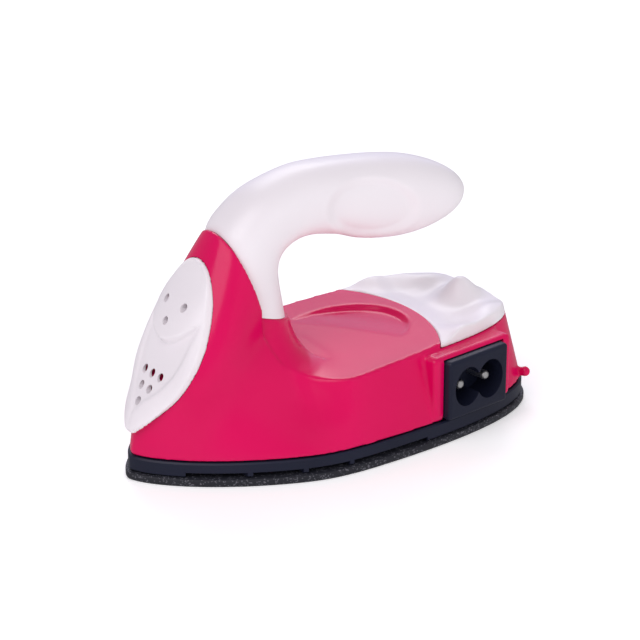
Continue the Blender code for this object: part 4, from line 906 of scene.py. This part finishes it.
combine(body, body_cavity())
tall = INLET_HEIGHT + GAP + SPARE
combine(body, block("inlet_opening", (INLET_WIDTH + 2 * GAP, INLET_DEPTH + SPARE + GAP, tall),
                    inlet_place(0, (INLET_DEPTH + GAP - SPARE) / 2, GAP + INLET_HEIGHT / 2 - tall / 2)))
PLATE_HOLES = [(41.2, -3.8), (41.2, 3.8), (37.5, 0), (25.2, -3.4), (25.2, 0), (25.2, 3.4),
               (22.2, -1.7), (22.2, 1.7), (19.2, 0)]
BODY_VENT_RADIUS = 1.6 * MM
UPPER_VENT_LENGTH = 40 * MM
LOWER_VENT_LENGTH = 16 * MM
PLATE_VENT_RADIUS = 0.95 * MM
PLATE_VENT_LENGTH = 60 * MM


def vent(radius, y, z, length):
    """A bore that runs back from ahead of the nose."""
    return rod("vent", radius, 0, length, lying(NOSE_X - SPARE, y * MM, z * MM, (1, 0, 0)))


for z, y in PLATE_HOLES:
    length = UPPER_VENT_LENGTH if z * MM > PLATE_MIDDLE else LOWER_VENT_LENGTH
    combine(body, vent(BODY_VENT_RADIUS, y, z, length))
finish(body, pink_gloss, "pink_plastic", "body_shell")

# %% [markdown]
# The leaf-shaped plate is cut from the horn's own surface, a little further out, so it bends
# with the nose. It is rebuilt of small even faces, which the relief needs.

# %% Front plate
PLATE_CELL = 0.28 * MM
PLATE_PASSES = 5
RELIEF_PASSES = 4

plate = face_form("nose_plate", PLATE_RECESS - PLATE_THICKNESS)
combine(plate, leaf("plate_leaf", 0), "INTERSECT")
combine(plate, face_form("plate_back", PLATE_RECESS - GAP))
melt(plate, PLATE_CELL, PLATE_PASSES)
print("plate before its relief:", len(plate.data.polygons), "faces")

# %% [markdown]
# The plate's upper half swells out over a lip shaped like a smile, and a raised border runs
# round the panel below. The relief isn't cut but pressed: each point moves along its normal by
# what a formula gives. Its sizes are in millimetres, and a pair tells where a soft step begins
# and where it ends. The holes go right through into the dark of the body.

# %% The plate's relief and holes
PANEL_WIDTHS = [(16, 0), (17, 0.5), (19.5, 2), (22.5, 5), (26.5, 7.5), (30, 8.5), (36, 9), (42, 9)]
PANEL_DEPTH = 0.55
PANEL_EDGE = (0.55, -0.55)
PANEL_TOP = (0.5, -0.3)
LIP_HEIGHT = 33
LIP_CURVE = 0.065
LIP_STEP = (-0.4, 0.7)
TONGUE_SWELL = 1.6
TONGUE_FADE = (37, 49)
TONGUE_HALF_WIDTH = 10.2
TIP_SWELL = 1.5
TIP_RISE = (25, 16)
TIP_HALF_WIDTH = 9
FLAT_DEPTH = 0.7
FLAT_RISE = (23, 28)
FLAT_HALF_WIDTH = 10
FRONT_FACING = (0.15, 0.5)


def between(rows, value):
    """A value read from the straight lines through the rows of a table."""
    for low, high in zip(rows, rows[1:]):
        if value <= high[0]:
            return low[1] + (high[1] - low[1]) * max(value - low[0], 0) / (high[0] - low[0])
    return rows[-1][1]


def arch(y, half_width):
    """1 on the middle line, 0 from the half-width on."""
    return max(1 - (y / half_width) ** 2, 0)


def plate_depth(place, normal):
    """How far the face sinks; less than nothing where it swells."""
    y, z = abs(place.y) / MM, place.z / MM
    over_lip = z - LIP_HEIGHT - LIP_CURVE * y * y
    tongue = ramp(over_lip, *LIP_STEP) * (1 - ramp(z, *TONGUE_FADE)) * arch(y, TONGUE_HALF_WIDTH)
    panel = ramp(y - between(PANEL_WIDTHS, z), *PANEL_EDGE) * ramp(over_lip, *PANEL_TOP)
    tip = ramp(z, *TIP_RISE) * arch(y, TIP_HALF_WIDTH)
    flat = ramp(z, *FLAT_RISE) * arch(y, FLAT_HALF_WIDTH)
    depth = FLAT_DEPTH * flat + PANEL_DEPTH * panel - TONGUE_SWELL * tongue - TIP_SWELL * tip
    return depth * MM * ramp(-normal.x, *FRONT_FACING)


press(plate, plate_depth)
modify(plate, "SMOOTH", factor=0.5, iterations=RELIEF_PASSES)
for z, y in PLATE_HOLES:
    combine(plate, vent(PLATE_VENT_RADIUS, y, z, PLATE_VENT_LENGTH))
finish(plate, white_satin, "white_plastic", "front_plate")

# %% [markdown]
# The handle is a thick curved grip. Cross-sections that are almost ellipses are set along its
# length, from the foot in the horn to the blunt tip over the heel. Each row of the table gives
# a point of the back, a point of the throat and the width there, all as shares.

# %% Handle
HANDLE_STATION = 20
HANDLE_LENGTH = 76.5 * MM
HANDLE_FOOT = 28 * MM
HANDLE_RISE = 40.5 * MM
SECTION_POWER = 0.85
HANDLE_WALL = 2.2 * MM
HANDLE_SHARES = [
    (0.034, 0.000, 0.297, 0.012, 1.00), (0.041, 0.198, 0.279, 0.210, 1.00),
    (0.045, 0.420, 0.261, 0.390, 1.00), (0.054, 0.593, 0.262, 0.469, 0.98),
    (0.072, 0.722, 0.278, 0.522, 0.96), (0.124, 0.826, 0.302, 0.553, 0.94),
    (0.190, 0.908, 0.336, 0.572, 0.91), (0.276, 0.964, 0.379, 0.575, 0.88),
    (0.368, 0.997, 0.431, 0.560, 0.86), (0.471, 0.994, 0.497, 0.530, 0.87),
    (0.569, 0.978, 0.562, 0.484, 0.90), (0.660, 0.957, 0.641, 0.452, 0.92),
    (0.752, 0.925, 0.725, 0.437, 0.92), (0.830, 0.880, 0.810, 0.446, 0.87),
    (0.898, 0.824, 0.889, 0.480, 0.76), (0.950, 0.760, 0.946, 0.526, 0.57),
    (0.980, 0.696, 0.978, 0.580, 0.33), (0.990, 0.660, 0.990, 0.622, 0.12),
]


def handle_point(length_share, rise_share):
    return Vector((station(HANDLE_STATION) + length_share * HANDLE_LENGTH, 0,
                   HANDLE_FOOT + rise_share * HANDLE_RISE))


def signed_power(value):
    return math.copysign(abs(value) ** SECTION_POWER, value)


def handle_ring(shares, wall, steps=72):
    """A cross-section between a point of the back and one of the throat of the handle."""
    outer, inner = handle_point(*shares[0:2]), handle_point(*shares[2:4])
    middle, across = (outer + inner) / 2, (outer - inner).normalized()
    tall = max((outer - inner).length / 2 - wall, wall / 2)
    wide = max(shares[4] * HANDLE_WIDTH / 2 - wall, wall / 2)
    ring = []
    for i in range(steps):
        angle = 2 * math.pi * i / steps
        side = Vector((0, signed_power(math.sin(angle)) * wide, 0))
        ring.append(middle + across * tall * signed_power(math.cos(angle)) + side)
    return ring


def handle_form(name, wall, first, last, steps=8):
    rows = spread(HANDLE_SHARES[first:last], steps)
    return loft(name, [handle_ring(row, wall) for row in rows])


handle = handle_form("handle_grip", 0, 0, len(HANDLE_SHARES))
melt(handle, MELT_CELL, MELT_PASSES)
print("handle before its cuts:", len(handle.data.polygons), "faces")

# %% [markdown]
# The oval thumb dish is pressed into both sides in the same way. Then the handle is cut to its
# seat on the horn and hollowed, and three bores from the far side reach its screws.

# %% Thumb dish, seat, hollow and screw holes of the handle
THUMB = Vector((station(64.2), 0, 56.4 * MM))
THUMB_HALF = (13 * MM, 7.6 * MM)
THUMB_DEPTH = 0.9 * MM
THUMB_SLOPE = 0.17
THUMB_EDGE = (1.08, 0.78)
THUMB_FACING = (0.4, 0.6)
HOLLOW_ROWS = (3, 17)
HANDLE_BOLT_SHARES = [(0.165, 0.76), (0.40, 0.80), (0.84, 0.65)]
BOLT_SEAT = 4.5 * MM
BOLT_BORE = 2.7 * MM


def thumb_depth(place, normal):
    """A shallow oval dish on each side of the grip."""
    off = place - THUMB
    reach = math.hypot(off.x / THUMB_HALF[0], (off.z + THUMB_SLOPE * off.x) / THUMB_HALF[1])
    return THUMB_DEPTH * ramp(reach, *THUMB_EDGE) * ramp(abs(normal.y), *THUMB_FACING)


press(handle, thumb_depth)
combine(handle, wedge("grip_place", SEAM), "INTERSECT")
combine(handle, handle_form("grip_hollow", HANDLE_WALL, *HOLLOW_ROWS, 5))
for shares in HANDLE_BOLT_SHARES:
    middle = handle_point(*shares)
    seat = lying(middle.x, BOLT_SEAT - GAP, middle.z, (0, 1, 0))
    combine(handle, rod("bolt_bore", BOLT_BORE, 0, SOLE_HALF_WIDTH, seat))
finish(handle, white_satin, "white_plastic", "handle_left", "handle_right")

# %% [markdown]
# The tray at the heel is white too. Its top is a height map: a concave floor, a rim along each
# side, and three soft lobes at the back that hold the wound cord.

# %% Rear tray
TRAY_LOW = 11 * MM
TRAY_HIGH = 32 * MM
TRAY_TALL = 30 * MM
TRAY_GRID_FRONT = 70
TRAY_FLOOR = 23.5 * MM
TRAY_INSET = 5 * MM
BASIN_START = (-2.25 * MM, 6.75 * MM)
RIM_HEIGHT = 2.4 * MM
RIM_SHARES = (0.55, 1)
RIM_START = (-4.8 * MM, 3.2 * MM)
REAR_RISE = 1 * MM
REAR_START = (91, 99)
LOBE_STATION = 95.5
LOBE_HEIGHT = 1.9 * MM
LOBE_OUT = 12 * MM
LOBE_SPREAD = (7 * MM, 4 * MM)
CREST_STATION = 96.5
CREST_HEIGHT = 5.4 * MM
CREST_SPREAD = (4.8 * MM, 4.3 * MM)
TRAY_CELL = 0.33 * MM
TRAY_PASSES = 5


def tray_surface(x, y):
    """Height of the tray's top."""
    back = x - station(TRAY_FRONT)
    floor = deck_z(x) + (TRAY_FLOOR - deck_z(x)) * ramp(back, *BASIN_START)
    share = (x - NOSE_X - TRAY_INSET) / (SOLE_LENGTH - 2 * TRAY_INSET)
    edge = (SOLE_HALF_WIDTH - TRAY_INSET) * plan_share(clamped(share))
    across = abs(y) / max(edge, 2 * MM)
    rim = ramp(across, *RIM_SHARES) * ramp(back, *RIM_START)
    rise = ramp(x, station(REAR_START[0]), station(REAR_START[1]))
    lobes = hump(x, station(LOBE_STATION), LOBE_SPREAD[0]) * hump(abs(y), LOBE_OUT, LOBE_SPREAD[1])
    crest = hump(x, station(CREST_STATION), CREST_SPREAD[0]) * hump(y, 0, CREST_SPREAD[1])
    height = RIM_HEIGHT * rim * (1 - rise) + REAR_RISE * rise
    return floor + height + LOBE_HEIGHT * lobes + CREST_HEIGHT * crest


def tray_block():
    """A tall block whose top is the tray's surface."""
    bpy.ops.object.select_all(action="DESELECT")
    bpy.ops.mesh.primitive_grid_add(x_subdivisions=64, y_subdivisions=112, size=2)
    top = bpy.context.object
    top.name = "tray_block"
    first, last = station(TRAY_GRID_FRONT), HEEL_X + 2 * MM
    for vertex in top.data.vertices:
        x = first + (last - first) * (vertex.co.x + 1) / 2
        y = SOLE_HALF_WIDTH * vertex.co.y
        vertex.co = (x, y, tray_surface(x, y))
    bpy.ops.object.mode_set(mode="EDIT")
    bpy.ops.mesh.select_all(action="SELECT")
    bpy.ops.mesh.extrude_region_move(TRANSFORM_OT_translate={"value": (0, 0, -TRAY_TALL)})
    bpy.ops.mesh.select_all(action="SELECT")
    bpy.ops.mesh.normals_make_consistent(inside=False)
    bpy.ops.object.mode_set(mode="OBJECT")
    return top


tray = body_form("heel_tray", 0, TRAY_LOW, TRAY_HIGH, 30)
combine(tray, tray_step("tray_seat", FIT, -FIT), "INTERSECT")
combine(tray, tray_pocket("tray_tub", GAP), "UNION")
combine(tray, tray_block(), "INTERSECT")
melt(tray, TRAY_CELL, TRAY_PASSES)
finish(tray, white_satin, "white_plastic", "rear_tray")

# %% [markdown]
# The inlet is a black block with a figure-eight well, where two round wells run together.

# %% Inlet
SOCKET_RADIUS = 4.3 * MM
SOCKET_SIDE = 3.7 * MM
SOCKET_STRETCH = 1.16
SOCKET_DEPTH = 7.5 * MM
SOCKET_STEPS = 40
INLET_EDGE = 0.9 * MM


def socket_space():
    """Two round wells that run into each other."""
    waist = math.acos(SOCKET_SIDE / SOCKET_RADIUS)
    ring = []
    for side in (1, -1):
        for i in range(SOCKET_STEPS + 1):
            angle = waist - math.pi + 2 * (math.pi - waist) * i / SOCKET_STEPS
            ring.append(Vector((side * (SOCKET_SIDE + SOCKET_RADIUS * math.cos(angle)), 0,
                                side * SOCKET_STRETCH * SOCKET_RADIUS * math.sin(angle))))
    rings = [[p + Vector((0, depth, 0)) for p in ring] for depth in (-SPARE, SOCKET_DEPTH)]
    return placed(loft("socket", rings), inlet_place(0, 0, 0))


inlet = block("inlet_block", (INLET_WIDTH, INLET_DEPTH, INLET_HEIGHT),
              inlet_place(0, INLET_DEPTH / 2, 0), INLET_EDGE, 5)
combine(inlet, socket_space())
finish(inlet, navy_black, "black_plastic", "inlet_housing")

# %% [markdown]
# Two nickelled pins stand in the well. Their ends are rounded, so that a plug slides on: a
# cylinder whose sharp edges get a wide bevel is enough.

# %% Inlet pins
PIN_SIDE = 4.3 * MM
PIN_RADIUS = 1.2 * MM
PIN_FRONT = 1.6 * MM
PIN_END = 14 * MM
PIN_ROUNDING = 1.05 * MM
for side, node in ((-1, "inlet_pin_front"), (1, "inlet_pin_rear")):
    pin = rod(node + "_round", PIN_RADIUS, PIN_FRONT, PIN_END, Matrix.Identity(4), 48)
    modify(pin, "BEVEL", width=PIN_ROUNDING, segments=8, limit_method="ANGLE",
           angle_limit=math.radians(60))
    placed(pin, inlet_place(side * PIN_SIDE, 0, 0) @ Matrix.Rotation(-math.pi / 2, 4, "X"))
    finish(pin, bright_pin, "nickelled_brass", node)

# %% [markdown]
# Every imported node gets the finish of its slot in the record, so that nothing shows a bare
# default colour. The nodes that a smoother piece above replaces are hidden by it.

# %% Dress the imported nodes
SLOT_FINISHES = {
    "pink_plastic": pink_gloss, "white_plastic": white_satin, "black_plastic": navy_black,
    "coated_sole": sole_coat, "nickelled_brass": bright_pin, "plated_steel": plated_steel,
    "ceramic": ceramic, "mica": mica, "lead_sleeving": sleeving,
}
for subpart in frame["record"]["subparts"]:
    node = frame["nodes"][subpart["node"]]
    node.data.materials.clear()
    node.data.materials.append(SLOT_FINISHES[subpart["material_slot"]])
print(len(frame["nodes"]), "packed nodes dressed")

# %% [markdown]
# The floor is white paper that glows faintly, so that it stays white under the soft lights.

# %% Floor finish
paper = Finish("studio_paper", {"Roughness": 0.9, "Emission Strength": 0.32})
paper.colour(paper.noise(4), (0.95, 0.95, 0.95, 1), (0.93, 0.93, 0.93, 1))
paper.feed(paper.shader.inputs["Emission Color"], (1, 1, 1, 1))
floor.data.materials.append(paper.material)
print("floor dressed in", paper.material.name)

# %% [markdown]
# Last, the view layer is brought up to date.

# %% Update the view layer and end
bpy.context.view_layer.update()
